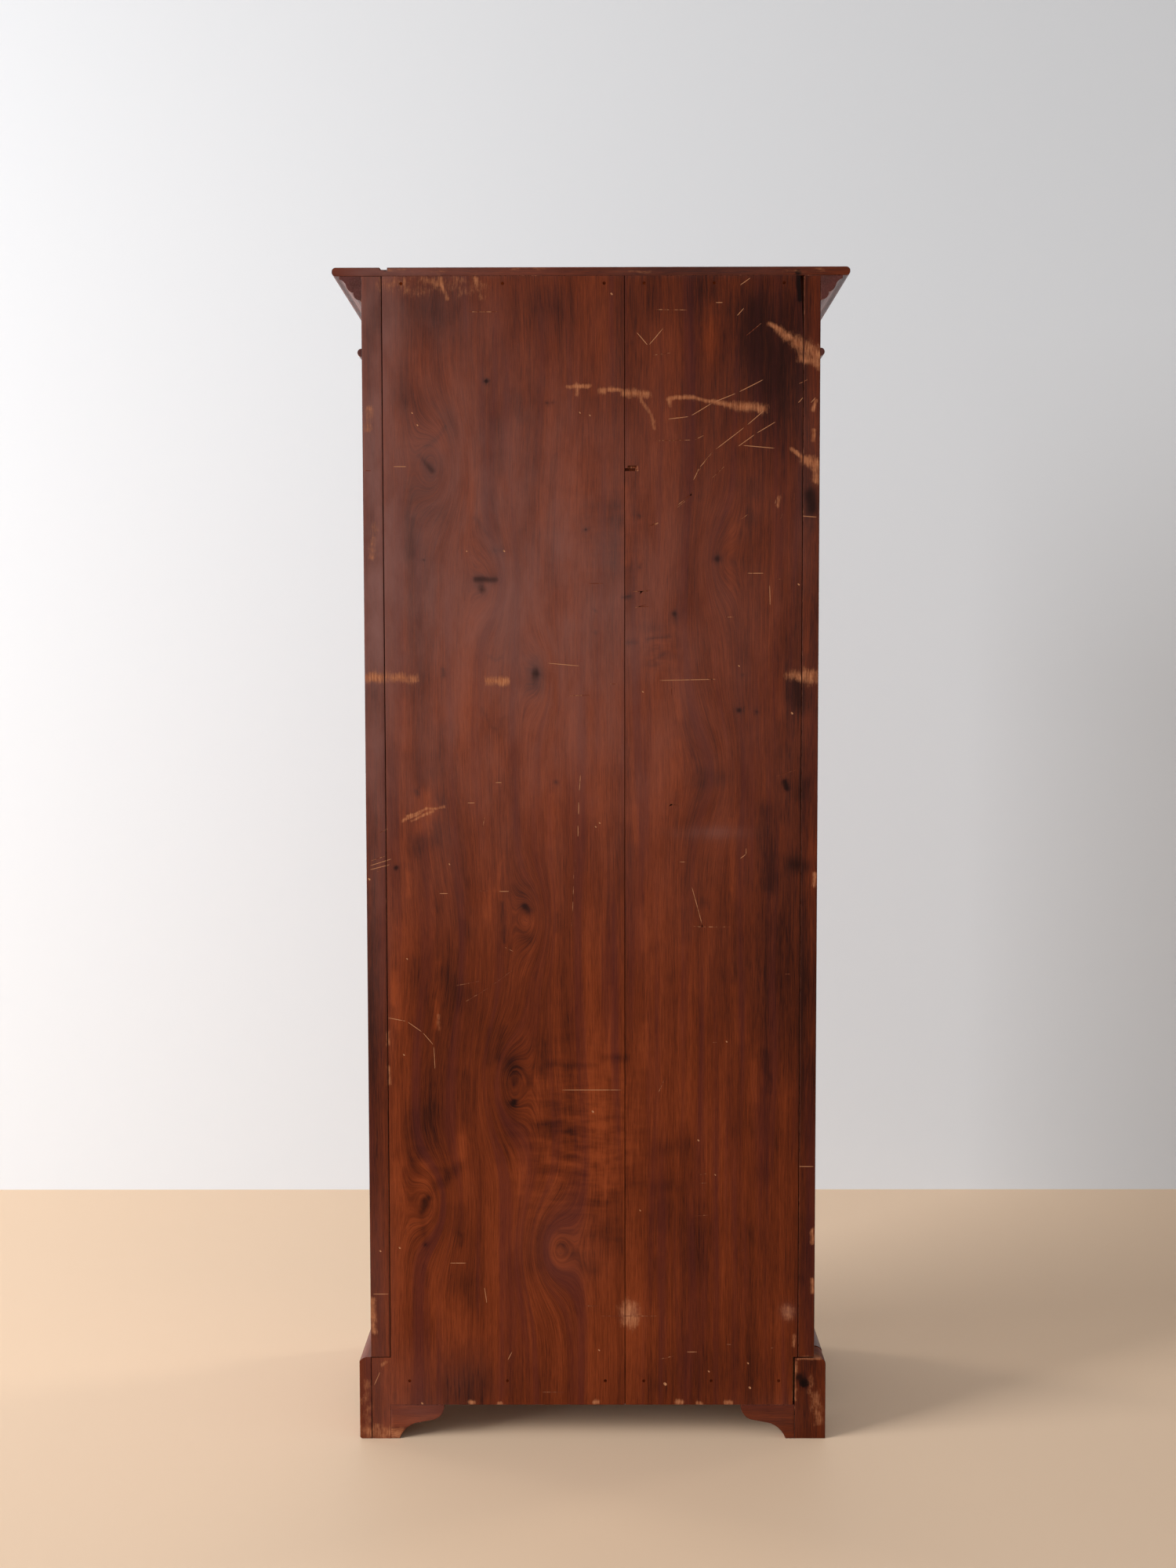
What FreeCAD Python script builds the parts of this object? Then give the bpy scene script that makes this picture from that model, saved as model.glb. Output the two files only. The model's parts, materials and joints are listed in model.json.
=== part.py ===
"""Tall glazed cabinet with one door, a moulded cornice and bracket feet. All sizes are in millimetres.

X runs to the right seen from the front, Y to the back and Z up.
The origin is on the floor, under the middle of the cabinet's overall box.
"""
import FreeCAD, Part
import math
import os

Vector = FreeCAD.Vector

# Overall sizes
OVERALL_HEIGHT = 1800.0
CARCASS_WIDTH = 690.0
CARCASS_DEPTH = 350.0

# Carcass boards
SIDE_THICKNESS = 34.0
BOTTOM_THICKNESS = 22.0
HOUSING_DEPTH = 8.0
TOP_RAIL_WIDTH = 60.0
TOP_RAIL_THICKNESS = 22.0
DOVETAIL_LENGTH = 22.0
DOVETAIL_NECK = 36.0
DOVETAIL_FLARE = 5.0

# Back boards: the right one ends in a leg that forms the rear foot
BACK_THICKNESS = 14.0
REAR_LIP_LEFT = 25.0
REAR_LIP_RIGHT = 30.0
BACK_EDGE_GAP = 1.2
BACK_SEAM_FROM_CENTRE = 50.0
TONGUE_LENGTH = 6.0
TONGUE_THICKNESS = 5.0
SHRINKAGE_WIDTH = 4.5
SHRINKAGE_LENGTH = 85.0
BACK_SLOT_LENGTH = 17.0
BACK_SLOT_HEIGHT = 4.5
BACK_SLOT_DEPTH = 4.0
BACK_SLOT_BELOW_TOP = 299.0
NAIL_RADIUS = 1.3
NAIL_LENGTH = 34.0
NAIL_HEAD_RADIUS = 2.4
NAIL_HEAD_THICKNESS = 1.2
NAIL_EDGE_DISTANCE = 30.0
NAILS_PER_ROW = 3

# Top board and cornice, whose members are given from the top down
TOP_BOARD_THICKNESS = 13.0
TOP_BOARD_OVERHANG = 44.0
TOP_BOARD_ROUNDING = 6.0
CHIP_FROM_CENTRE = 310.0
CHIP_WIDTH = 8.0
CHIP_DEPTH = 5.0
CORNICE_TOP_FILLET = 5.0
CORNICE_QUIRK = 2.0
CYMA_RUN = 17.0
CYMA_DROP = 19.0
CYMA_HOLLOW = 1.6
CORNICE_LOWER_FILLET = 1.5
OVOLO_RADIUS = 10.0
CORNICE_FOOT_FILLET = 1.5
CORNICE_FOOT_STEP = 2.0

# Frieze and its bead
FRIEZE_HEIGHT = 70.0
BEAD_HEIGHT = 12.0
BEAD_PROJECTION = 6.5

# Front frame
FRAME_THICKNESS = 22.0
FRAME_STILE_WIDTH = 52.0
HEAD_RAIL_HEIGHT = 40.0
SILL_RAIL_HEIGHT = 35.0
FRAME_TENON_LENGTH = 30.0
FRAME_TENON_THICKNESS = 8.0
TENON_SHOULDER = 6.0
DOOR_STOP_THICKNESS = 12.0
DOOR_STOP_OVERLAP = 7.5

# Base: plinth boards outside, bearers inside
PLINTH_HEIGHT = 130.0
PLINTH_THICKNESS = 18.0
PLINTH_EDGE_DROP = 6.5
PLINTH_EDGE_RUN = 13.0
BEARER_THICKNESS = 30.0
PLINTH_FOOT_ROUNDING = 4.0
FOOT_ROUND_RUN = 21.0
FOOT_ROUND_DROP = 25.0
FOOT_SLOPE_RUN = 24.0
FOOT_SLOPE_DROP = 4.5
FOOT_COVE_RUN = 25.0
FOOT_COVE_DROP = 24.5
FOOT_COVE_HOLLOW = 4.0
FOOT_TOE = 14.0
REAR_POST_DEPTH = 45.0
REAR_POST_ROUNDING = 10.0
REAR_POST_SIDE_GAP = 3.0
REAR_POST_TOP_GAP = 1.5
FOOT_BLOCK_SIZE = 45.0

# Shelves, on bearers that hang in toothed strips
SHELF_THICKNESS = 18.0
SHELF_CLEARANCE = 2.0
SHELF_FRONT_GAP = 14.0
STRIP_WIDTH = 26.0
STRIP_THICKNESS = 14.0
STRIP_SETBACK = 18.0
STRIP_TOP_GAP = 60.0
TOOTH_DEPTH = 10.0
TOOTH_SLOPE_HEIGHT = 25.0
TEETH_PER_ROW = 11
BEARER_BAR_HEIGHT = 22.0
BEARER_BAR_CLEARANCE = 0.4

# Door frame, glazing bars and glass
DOOR_GAP = 1.5
DOOR_REAR_CLEARANCE = 0.5
DOOR_STILE_WIDTH = 58.0
DOOR_TOP_RAIL_HEIGHT = 62.0
DOOR_BOTTOM_RAIL_HEIGHT = 84.0
DOOR_TENON_LENGTH = 40.0
DOOR_TENON_THICKNESS = 7.0
PANE_COLUMNS = 2
PANE_ROWS = 4
BAR_WIDTH = 22.0
BAR_STUB_LENGTH = 8.0
BAR_STUB_WIDTH = 5.0
BAR_STUB_THICKNESS = 6.0
STICKING_RADIUS = 6.0
GLASS_SETBACK = 10.0
GLASS_THICKNESS = 3.0
GLASS_CLEARANCE = 0.7
REBATE_WIDTH = 7.0
GLAZING_STRIP_WIDTH = 6.0

# Butt hinges
HINGE_COUNT = 3
HINGE_LENGTH = 76.0
HINGE_END_DISTANCE = 180.0
HINGE_KNUCKLE_RADIUS = 4.5
HINGE_AXIS_PROUD = 5.0
HINGE_PIN_RADIUS = 2.2
HINGE_PIN_CLEARANCE = 0.05
HINGE_LEAF_THICKNESS = 1.6
HINGE_LEAF_GAP = 0.3
HINGE_LEAF_REACH = 18.0
HINGE_KNUCKLES = 5
HINGE_KNUCKLE_GAP = 0.3
HINGE_FINIAL_RADIUS = 3.4
HINGE_SCREWS = 3
SCREW_EDGE_DISTANCE = 12.0
SCREW_HEAD_RADIUS = 3.2
SCREW_SHANK_RADIUS = 1.7
SCREW_LENGTH = 14.0
SCREW_CLEARANCE = 0.05

# Lock, key and escutcheon
LOCK_BELOW_MIDDLE = 0.0
LOCK_WIDTH = 42.0
LOCK_HEIGHT = 64.0
LOCK_DEPTH = 12.0
LOCK_WALL = 1.5
LOCK_CAP_THICKNESS = 1.6
LOCK_FIT = 0.2
LOCK_SCREW_INSET = 5.0
LOCK_SCREW_RADIUS = 1.4
LOCK_SCREW_LENGTH = 9.0
BOLT_HEIGHT = 14.0
BOLT_THICKNESS = 6.0
BOLT_LENGTH = 34.0
BOLT_THROW = 9.0
BOLT_FIT = 0.25
BOLT_MORTISE_SPARE = 4.0
KEY_BACKSET = 24.0
KEY_SHANK_RADIUS = 2.5
KEY_BIT_REACH = 9.5
KEY_BIT_WIDTH = 3.0
KEY_BIT_LENGTH = 6.0
KEY_FIT = 0.25
KEY_SWEEP_CLEARANCE = 0.5
KEY_EXPOSED_LENGTH = 14.0
KEY_BOW_RADIUS = 8.5
KEY_BOW_WIRE = 2.0
KEY_COLLAR_RADIUS = 3.8
KEY_COLLAR_LENGTH = 3.0
KEYHOLE_CLEARANCE = 0.6
ESCUTCHEON_WIDTH = 20.0
ESCUTCHEON_HEIGHT = 34.0
ESCUTCHEON_THICKNESS = 1.5
ESCUTCHEON_ROUNDING = 0.7
ESCUTCHEON_OFFSET = 3.0

# Small surplus that takes cutters past the faces they cut, and tenons into the pieces they are part of
PAST = 1.0

# Places worked out from the sizes
HALF_WIDTH = CARCASS_WIDTH / 2
INNER_HALF = HALF_WIDTH - SIDE_THICKNESS
Y_BACK = (CARCASS_DEPTH + TOP_BOARD_OVERHANG) / 2
Y_FRONT = Y_BACK - CARCASS_DEPTH
Y_FRAME_REAR = Y_FRONT + FRAME_THICKNESS
Y_BACK_INNER = Y_BACK - BACK_THICKNESS
Z_TOP = OVERALL_HEIGHT - TOP_BOARD_THICKNESS
CORNICE_HEIGHT = (CORNICE_TOP_FILLET + CYMA_DROP + CORNICE_LOWER_FILLET + OVOLO_RADIUS
                  + CORNICE_FOOT_FILLET)
Z_FRIEZE = Z_TOP - CORNICE_HEIGHT - FRIEZE_HEIGHT
Z_BEAD = Z_FRIEZE - BEAD_HEIGHT / 2
Z_SILL = PLINTH_HEIGHT + SILL_RAIL_HEIGHT
Z_HEAD = Z_BEAD - HEAD_RAIL_HEIGHT
OPENING_HALF = HALF_WIDTH - FRAME_STILE_WIDTH
FOOT_HEIGHT = FOOT_ROUND_DROP + FOOT_SLOPE_DROP + FOOT_COVE_DROP
FOOT_CURVE_LENGTH = FOOT_ROUND_RUN + FOOT_SLOPE_RUN + FOOT_COVE_RUN
POST_INNER = HALF_WIDTH - BEARER_THICKNESS
TOE_INNER = POST_INNER - FOOT_TOE
SEAM_X = -BACK_SEAM_FROM_CENTRE

DOOR_HALF = OPENING_HALF - DOOR_GAP
DOOR_BOTTOM = Z_SILL + DOOR_GAP
DOOR_TOP = Z_HEAD - DOOR_GAP
Y_DOOR_REAR = Y_FRAME_REAR - DOOR_REAR_CLEARANCE
Y_GLASS = Y_FRONT + GLASS_SETBACK
SIGHT_HALF = DOOR_HALF - DOOR_STILE_WIDTH
SIGHT_BOTTOM = DOOR_BOTTOM + DOOR_BOTTOM_RAIL_HEIGHT
SIGHT_TOP = DOOR_TOP - DOOR_TOP_RAIL_HEIGHT
PANE_WIDTH = (2 * SIGHT_HALF - (PANE_COLUMNS - 1) * BAR_WIDTH) / PANE_COLUMNS
PANE_HEIGHT = (SIGHT_TOP - SIGHT_BOTTOM - (PANE_ROWS - 1) * BAR_WIDTH) / PANE_ROWS
ROW_SPACING = PANE_HEIGHT + BAR_WIDTH
COLUMN_SPACING = PANE_WIDTH + BAR_WIDTH

HINGE_X = -(OPENING_HALF + DOOR_HALF) / 2
HINGE_Y = Y_FRONT - HINGE_AXIS_PROUD
LOCK_Z = (DOOR_BOTTOM + DOOR_TOP) / 2 - LOCK_BELOW_MIDDLE
KEY_X = DOOR_HALF - KEY_BACKSET


# Plain shapes

def box(x0, x1, y0, y1, z0, z1):
    """A block between two corners."""
    return Part.makeBox(x1 - x0, y1 - y0, z1 - z0, Vector(x0, y0, z0))


def profile(place, start, *steps):
    """A closed face: a step is an end point, or a (middle, end) pair for an arc; place turns (u, v) into a point."""
    edges = []
    here = start
    for step in steps + (start,):
        if isinstance(step[0], tuple):
            middle, end = step
            edges.append(Part.Arc(place(*here), place(*middle), place(*end)).toShape())
        else:
            end = step
            edges.append(Part.LineSegment(place(*here), place(*end)).toShape())
        here = end
    return Part.Face(Part.Wire(edges))


def on_arc(centre, radius, degrees):
    """A point on a circle."""
    angle = math.radians(degrees)
    return (centre[0] + radius * math.cos(angle), centre[1] + radius * math.sin(angle))


def bulge(a, b, rise):
    """The middle of an arc from a to b that rises to the left of the way between them."""
    du, dv = b[0] - a[0], b[1] - a[1]
    chord = math.hypot(du, dv)
    return ((a[0] + b[0]) / 2 - dv / chord * rise, (a[1] + b[1]) / 2 + du / chord * rise)


def prism_z(points, z0, z1):
    """An upright prism over an outline in X and Y."""
    return profile(lambda x, y: Vector(x, y, z0), *points).extrude(Vector(0, 0, z1 - z0))


def prism_y(points, y0, y1):
    """A prism along Y over an outline in X and Z."""
    return profile(lambda x, z: Vector(x, y0, z), *points).extrude(Vector(0, y1 - y0, 0))


def prism_x(points, x0, x1):
    """A prism along X over an outline in Y and Z."""
    return profile(lambda y, z: Vector(x0, y, z), *points).extrude(Vector(x1 - x0, 0, 0))


def rod(radius, start, direction, length):
    """A round bar from a point along a direction."""
    return Part.makeCylinder(radius, length, start, direction)


def one(shape):
    """The single clean solid of a boolean's result."""
    solids = shape.removeSplitter().Solids
    if len(solids) != 1:
        raise ValueError(f"expected one solid and found {len(solids)}")
    return solids[0]


def mirrored(shape):
    """The same piece for the other side of the cabinet."""
    return shape.mirror(Vector(0, 0, 0), Vector(1, 0, 0))


# Mouldings that run round the front and both sides, mitred at the front corners

MOULDING_REACH = TOP_BOARD_OVERHANG + PLINTH_THICKNESS


def front_zone():
    """The space in front of the carcass, up to the mitres."""
    corner = HALF_WIDTH + MOULDING_REACH
    y_out = Y_FRONT - MOULDING_REACH
    points = [(-HALF_WIDTH, Y_FRONT), (-corner, y_out), (corner, y_out), (HALF_WIDTH, Y_FRONT)]
    return prism_z(points, -PAST, OVERALL_HEIGHT)


def right_zone():
    """The space right of the carcass, from the mitre to the back."""
    corner = HALF_WIDTH + MOULDING_REACH
    points = [(HALF_WIDTH, Y_FRONT), (corner, Y_FRONT - MOULDING_REACH), (corner, Y_BACK), (HALF_WIDTH, Y_BACK)]
    return prism_z(points, -PAST, OVERALL_HEIGHT)


def front_run(start, *steps):
    """A moulding across the front; its outline is in distance out from the carcass and height."""
    x_end = HALF_WIDTH + MOULDING_REACH
    face = profile(lambda out, z: Vector(-x_end, Y_FRONT - out, z), start, *steps)
    return one(face.extrude(Vector(2 * x_end, 0, 0)).common(front_zone()))


def right_run(start, *steps):
    """The same moulding along the right side."""
    y_start = Y_FRONT - MOULDING_REACH
    face = profile(lambda out, z: Vector(HALF_WIDTH + out, y_start, z), start, *steps)
    return one(face.extrude(Vector(0, Y_BACK - y_start, 0)).common(right_zone()))


def cornice_outline():
    """Fillet, cyma, fillet and ovolo, from the top board down to the frieze."""
    ovolo_out = CORNICE_FOOT_STEP + OVOLO_RADIUS
    cyma_foot = ovolo_out + CORNICE_QUIRK
    cyma_head = cyma_foot + CYMA_RUN
    top_out = cyma_head + CORNICE_QUIRK
    z_cyma = Z_TOP - CORNICE_TOP_FILLET
    z_fillet = z_cyma - CYMA_DROP
    z_ovolo = z_fillet - CORNICE_LOWER_FILLET
    z_foot = z_ovolo - OVOLO_RADIUS
    bend = ((cyma_foot + cyma_head) / 2, (z_cyma + z_fillet) / 2)
    hollow = bulge((cyma_head, z_cyma), bend, -CYMA_HOLLOW)
    swell = bulge(bend, (cyma_foot, z_fillet), CYMA_HOLLOW)
    ovolo_middle = on_arc((CORNICE_FOOT_STEP, z_ovolo), OVOLO_RADIUS, -45)
    return [
        (0.0, Z_TOP), (top_out, Z_TOP), (top_out, z_cyma), (cyma_head, z_cyma),
        (hollow, bend), (swell, (cyma_foot, z_fillet)),
        (ovolo_out, z_fillet), (ovolo_out, z_ovolo),
        (ovolo_middle, (CORNICE_FOOT_STEP, z_foot)),
        (CORNICE_FOOT_STEP, z_foot - CORNICE_FOOT_FILLET), (0.0, z_foot - CORNICE_FOOT_FILLET),
    ]


def bead_outline():
    """A half-round bead under the frieze."""
    return [(0.0, Z_BEAD - BEAD_HEIGHT / 2), ((BEAD_PROJECTION, Z_BEAD), (0.0, Z_BEAD + BEAD_HEIGHT / 2))]


def plinth_outline():
    """A plinth board with a thumb-moulded top edge."""
    z_edge = PLINTH_HEIGHT - PLINTH_EDGE_DROP
    edge_out = PLINTH_THICKNESS - PLINTH_EDGE_RUN
    radius = (PLINTH_EDGE_RUN ** 2 + PLINTH_EDGE_DROP ** 2) / (2 * PLINTH_EDGE_DROP)
    lowest = math.degrees(math.atan2(radius - PLINTH_EDGE_DROP, PLINTH_EDGE_RUN))
    thumb = on_arc((edge_out, PLINTH_HEIGHT - radius), radius, (90 + lowest) / 2)
    r = PLINTH_FOOT_ROUNDING
    foot = on_arc((PLINTH_THICKNESS - r, r), r, -45)
    return [(0.0, 0.0), (PLINTH_THICKNESS - r, 0.0), (foot, (PLINTH_THICKNESS, r)), (PLINTH_THICKNESS, z_edge),
            (thumb, (edge_out, PLINTH_HEIGHT)), (0.0, PLINTH_HEIGHT)]


def cornice_parts():
    """Top board, three cornice mouldings and three beads."""
    edge = HALF_WIDTH + TOP_BOARD_OVERHANG
    board = box(-edge, edge, Y_FRONT - TOP_BOARD_OVERHANG, Y_BACK, Z_TOP, OVERALL_HEIGHT)
    rounded = [e for e in board.Edges if abs(e.BoundBox.ZLength) < PAST and e.BoundBox.YMin < Y_BACK - PAST]
    board = board.makeFillet(TOP_BOARD_ROUNDING, rounded)
    chip = prism_y([(CHIP_FROM_CENTRE - CHIP_WIDTH / 2, OVERALL_HEIGHT + PAST),
                    (CHIP_FROM_CENTRE - CHIP_WIDTH / 2, OVERALL_HEIGHT - CHIP_DEPTH),
                    (CHIP_FROM_CENTRE, OVERALL_HEIGHT - CHIP_DEPTH),
                    (CHIP_FROM_CENTRE + CHIP_WIDTH / 2, OVERALL_HEIGHT + PAST)],
                   Y_BACK - CHIP_WIDTH, Y_BACK + PAST)
    cornice_right = right_run(*cornice_outline())
    bead_right = right_run(*bead_outline())
    return {
        "top_board": one(board.cut(chip)),
        "cornice_front": front_run(*cornice_outline()),
        "cornice_right": cornice_right,
        "cornice_left": mirrored(cornice_right),
        "bead_front": front_run(*bead_outline()),
        "bead_right": bead_right,
        "bead_left": mirrored(bead_right),
    }


# Carcass

def dovetail(side, y_middle):
    """The tail at one end of a top rail; side is 1 on the right and -1 on the left."""
    neck = DOVETAIL_NECK / 2
    tip = neck + DOVETAIL_FLARE
    x_root, x_neck = side * (INNER_HALF - PAST), side * INNER_HALF
    x_tip = side * (INNER_HALF + DOVETAIL_LENGTH)
    points = [(x_root, y_middle - neck), (x_neck, y_middle - neck), (x_tip, y_middle - tip),
              (x_tip, y_middle + tip), (x_neck, y_middle + neck), (x_root, y_middle + neck)]
    return prism_z(points, Z_TOP - TOP_RAIL_THICKNESS, Z_TOP)


def top_rail(y0):
    """A rail under the top board, dovetailed into both sides."""
    y_middle = y0 + TOP_RAIL_WIDTH / 2
    rail = box(-INNER_HALF, INNER_HALF, y0, y0 + TOP_RAIL_WIDTH, Z_TOP - TOP_RAIL_THICKNESS, Z_TOP)
    return one(rail.fuse([dovetail(1, y_middle), dovetail(-1, y_middle)]))


def bottom_board():
    """The floor of the case, housed in both sides."""
    half = INNER_HALF + HOUSING_DEPTH
    return box(-half, half, Y_FRAME_REAR, Y_BACK_INNER, Z_SILL - BOTTOM_THICKNESS, Z_SILL)


def side(direction, lip, cutters):
    """A side board, rebated behind for the back boards; direction is 1 on the right and -1 on the left."""
    outer, inner = direction * HALF_WIDTH, direction * INNER_HALF
    rebate_edge = direction * (HALF_WIDTH - lip)
    board = box(min(outer, inner), max(outer, inner), Y_FRAME_REAR, Y_BACK, PLINTH_HEIGHT, Z_TOP)
    rebate = box(min(rebate_edge, inner), max(rebate_edge, inner), Y_BACK_INNER, Y_BACK, PLINTH_HEIGHT, Z_TOP)
    return one(board.cut([rebate] + cutters))


def nail_places():
    """Where the back boards are nailed to the rear top rail and the rear bearer."""
    left = (-HALF_WIDTH + REAR_LIP_LEFT, SEAM_X)
    right = (SEAM_X, HALF_WIDTH - REAR_LIP_RIGHT)
    rows = (Z_TOP - TOP_RAIL_THICKNESS / 2, (FOOT_HEIGHT + PLINTH_HEIGHT) / 2)
    places = []
    for x0, x1 in (left, right):
        pitch = (x1 - x0 - 2 * NAIL_EDGE_DISTANCE) / (NAILS_PER_ROW - 1)
        places += [(x0 + NAIL_EDGE_DISTANCE + i * pitch, z) for i in range(NAILS_PER_ROW) for z in rows]
    return places


def nail(x, z, clearance=0.0):
    """A nail driven in from behind, or the hole for it."""
    inwards = Vector(0, -1, 0)
    head = rod(NAIL_HEAD_RADIUS + clearance, Vector(x, Y_BACK, z), inwards, NAIL_HEAD_THICKNESS)
    shank = rod(NAIL_RADIUS + clearance, Vector(x, Y_BACK, z), inwards, NAIL_LENGTH + clearance)
    return one(head.fuse(shank))


def back_left(holes):
    """The left back board, with the groove, the shrinkage gap at its top corner and the small slot."""
    edge = -HALF_WIDTH + REAR_LIP_LEFT + BACK_EDGE_GAP
    foot_edge = -POST_INNER + REAR_POST_SIDE_GAP
    points = [(edge, PLINTH_HEIGHT), (foot_edge, PLINTH_HEIGHT), (foot_edge, FOOT_HEIGHT),
              (SEAM_X - BACK_EDGE_GAP, FOOT_HEIGHT), (SEAM_X - BACK_EDGE_GAP, Z_TOP),
              (edge + SHRINKAGE_WIDTH, Z_TOP), (edge, Z_TOP - SHRINKAGE_LENGTH)]
    y_tongue = (Y_BACK + Y_BACK_INNER) / 2
    groove = box(SEAM_X - TONGUE_LENGTH, SEAM_X, y_tongue - TONGUE_THICKNESS / 2, y_tongue + TONGUE_THICKNESS / 2,
                 FOOT_HEIGHT, Z_TOP)
    z_slot = OVERALL_HEIGHT - BACK_SLOT_BELOW_TOP - BACK_SLOT_HEIGHT
    slot = box(SEAM_X - BACK_SLOT_LENGTH, SEAM_X, Y_BACK - BACK_SLOT_DEPTH, Y_BACK,
               z_slot, z_slot + BACK_SLOT_HEIGHT)
    return one(prism_y(points, Y_BACK_INNER, Y_BACK).cut([groove, slot] + holes))


def back_right(holes):
    """The right back board, with the tongue and the leg that stands on the floor."""
    edge = HALF_WIDTH - REAR_LIP_RIGHT - BACK_EDGE_GAP
    leg_outer = HALF_WIDTH - BACK_EDGE_GAP
    leg_top = PLINTH_HEIGHT - BACK_EDGE_GAP
    points = [(SEAM_X, FOOT_HEIGHT), (POST_INNER, FOOT_HEIGHT), (POST_INNER, 0.0), (leg_outer, 0.0),
              (leg_outer, leg_top), (edge, leg_top), (edge, Z_TOP), (SEAM_X, Z_TOP)]
    y_tongue = (Y_BACK + Y_BACK_INNER) / 2
    tongue = box(SEAM_X - TONGUE_LENGTH, SEAM_X + PAST, y_tongue - TONGUE_THICKNESS / 2,
                 y_tongue + TONGUE_THICKNESS / 2, FOOT_HEIGHT, Z_TOP)
    return one(prism_y(points, Y_BACK_INNER, Y_BACK).fuse(tongue).cut(holes))


def carcass_parts():
    """Sides, bottom, top rails, back boards and nails."""
    front_rail = top_rail(Y_FRAME_REAR)
    rear_rail = top_rail(Y_BACK_INNER - TOP_RAIL_WIDTH)
    bottom = bottom_board()
    holes = [nail(x, z, SCREW_CLEARANCE) for x, z in nail_places()]
    housings = [front_rail, rear_rail, bottom]
    return {
        "side_left": side(-1, REAR_LIP_LEFT, housings),
        "side_right": side(1, REAR_LIP_RIGHT, housings),
        "bottom_board": bottom,
        "top_rail_front": front_rail,
        "top_rail_rear": one(rear_rail.cut(holes)),
        "back_board_left": back_left(holes),
        "back_board_right": back_right(holes),
        "back_nails": Part.makeCompound([nail(x, z) for x, z in nail_places()]),
    }


# Front frame

def frame_tenon(direction, z0, z1):
    """A rail's tenon in a front stile."""
    y_middle = (Y_FRONT + Y_FRAME_REAR) / 2
    root, tip = direction * (OPENING_HALF - PAST), direction * (OPENING_HALF + FRAME_TENON_LENGTH)
    return box(min(root, tip), max(root, tip), y_middle - FRAME_TENON_THICKNESS / 2,
               y_middle + FRAME_TENON_THICKNESS / 2, z0 + TENON_SHOULDER, z1 - TENON_SHOULDER)


def frame_rail(z0, z1):
    """A rail between the front stiles."""
    rail = box(-OPENING_HALF, OPENING_HALF, Y_FRONT, Y_FRAME_REAR, z0, z1)
    return one(rail.fuse([frame_tenon(1, z0, z1), frame_tenon(-1, z0, z1)]))


def front_frame_parts():
    """Frieze board, stiles, rails and the stop that the door closes against."""
    head = frame_rail(Z_HEAD, Z_BEAD)
    sill = frame_rail(PLINTH_HEIGHT, Z_SILL)
    left = box(-HALF_WIDTH, -OPENING_HALF, Y_FRONT, Y_FRAME_REAR, PLINTH_HEIGHT, Z_BEAD)
    right = box(OPENING_HALF, HALF_WIDTH, Y_FRONT, Y_FRAME_REAR, PLINTH_HEIGHT, Z_BEAD)
    hinge_cuts = [leaf_recess(z, -1) for z in hinge_places()] + [s for s in hinge_screws(-1, SCREW_CLEARANCE)]
    stop_edge = DOOR_HALF - DOOR_STOP_OVERLAP
    stop = box(stop_edge, INNER_HALF, Y_FRAME_REAR, Y_FRAME_REAR + DOOR_STOP_THICKNESS, Z_SILL, Z_HEAD)
    return {
        "frieze_board": box(-HALF_WIDTH, HALF_WIDTH, Y_FRONT, Y_FRAME_REAR, Z_BEAD, Z_TOP),
        "front_stile_left": one(left.cut([head, sill] + hinge_cuts)),
        "front_stile_right": one(right.cut([head, sill, bolt_mortise()])),
        "head_rail": head,
        "sill_rail": sill,
        "door_stop": stop,
    }


# Base

def foot_void(u0, u1):
    """The outline of the space between two bracket feet whose toes end at u0 and u1 on the floor."""
    half_turn = math.radians(45)
    z_slope = FOOT_COVE_DROP
    z_round = FOOT_COVE_DROP + FOOT_SLOPE_DROP
    reach_slope = FOOT_COVE_RUN
    reach_round = FOOT_COVE_RUN + FOOT_SLOPE_RUN
    swell_reach = reach_round + FOOT_ROUND_RUN * math.sin(half_turn)
    swell_z = z_round + FOOT_ROUND_DROP * (1 - math.cos(half_turn))
    left_cove = bulge((u0, 0.0), (u0 + reach_slope, z_slope), FOOT_COVE_HOLLOW)
    right_cove = bulge((u1 - reach_slope, z_slope), (u1, 0.0), FOOT_COVE_HOLLOW)
    return [
        (u0, -PAST), (u0, 0.0),
        (left_cove, (u0 + reach_slope, z_slope)), (u0 + reach_round, z_round),
        ((u0 + swell_reach, swell_z), (u0 + FOOT_CURVE_LENGTH, FOOT_HEIGHT)),
        (u1 - FOOT_CURVE_LENGTH, FOOT_HEIGHT),
        ((u1 - swell_reach, swell_z), (u1 - reach_round, z_round)), (u1 - reach_slope, z_slope),
        (right_cove, (u1, 0.0)), (u1, -PAST),
    ]


def rear_bracket(void):
    """The bracket foot under the back boards, on the right."""
    blank = box(TOE_INNER - FOOT_CURVE_LENGTH, POST_INNER, Y_BACK_INNER, Y_BACK, 0.0, FOOT_HEIGHT)
    return one(blank.cut(void))


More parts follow.
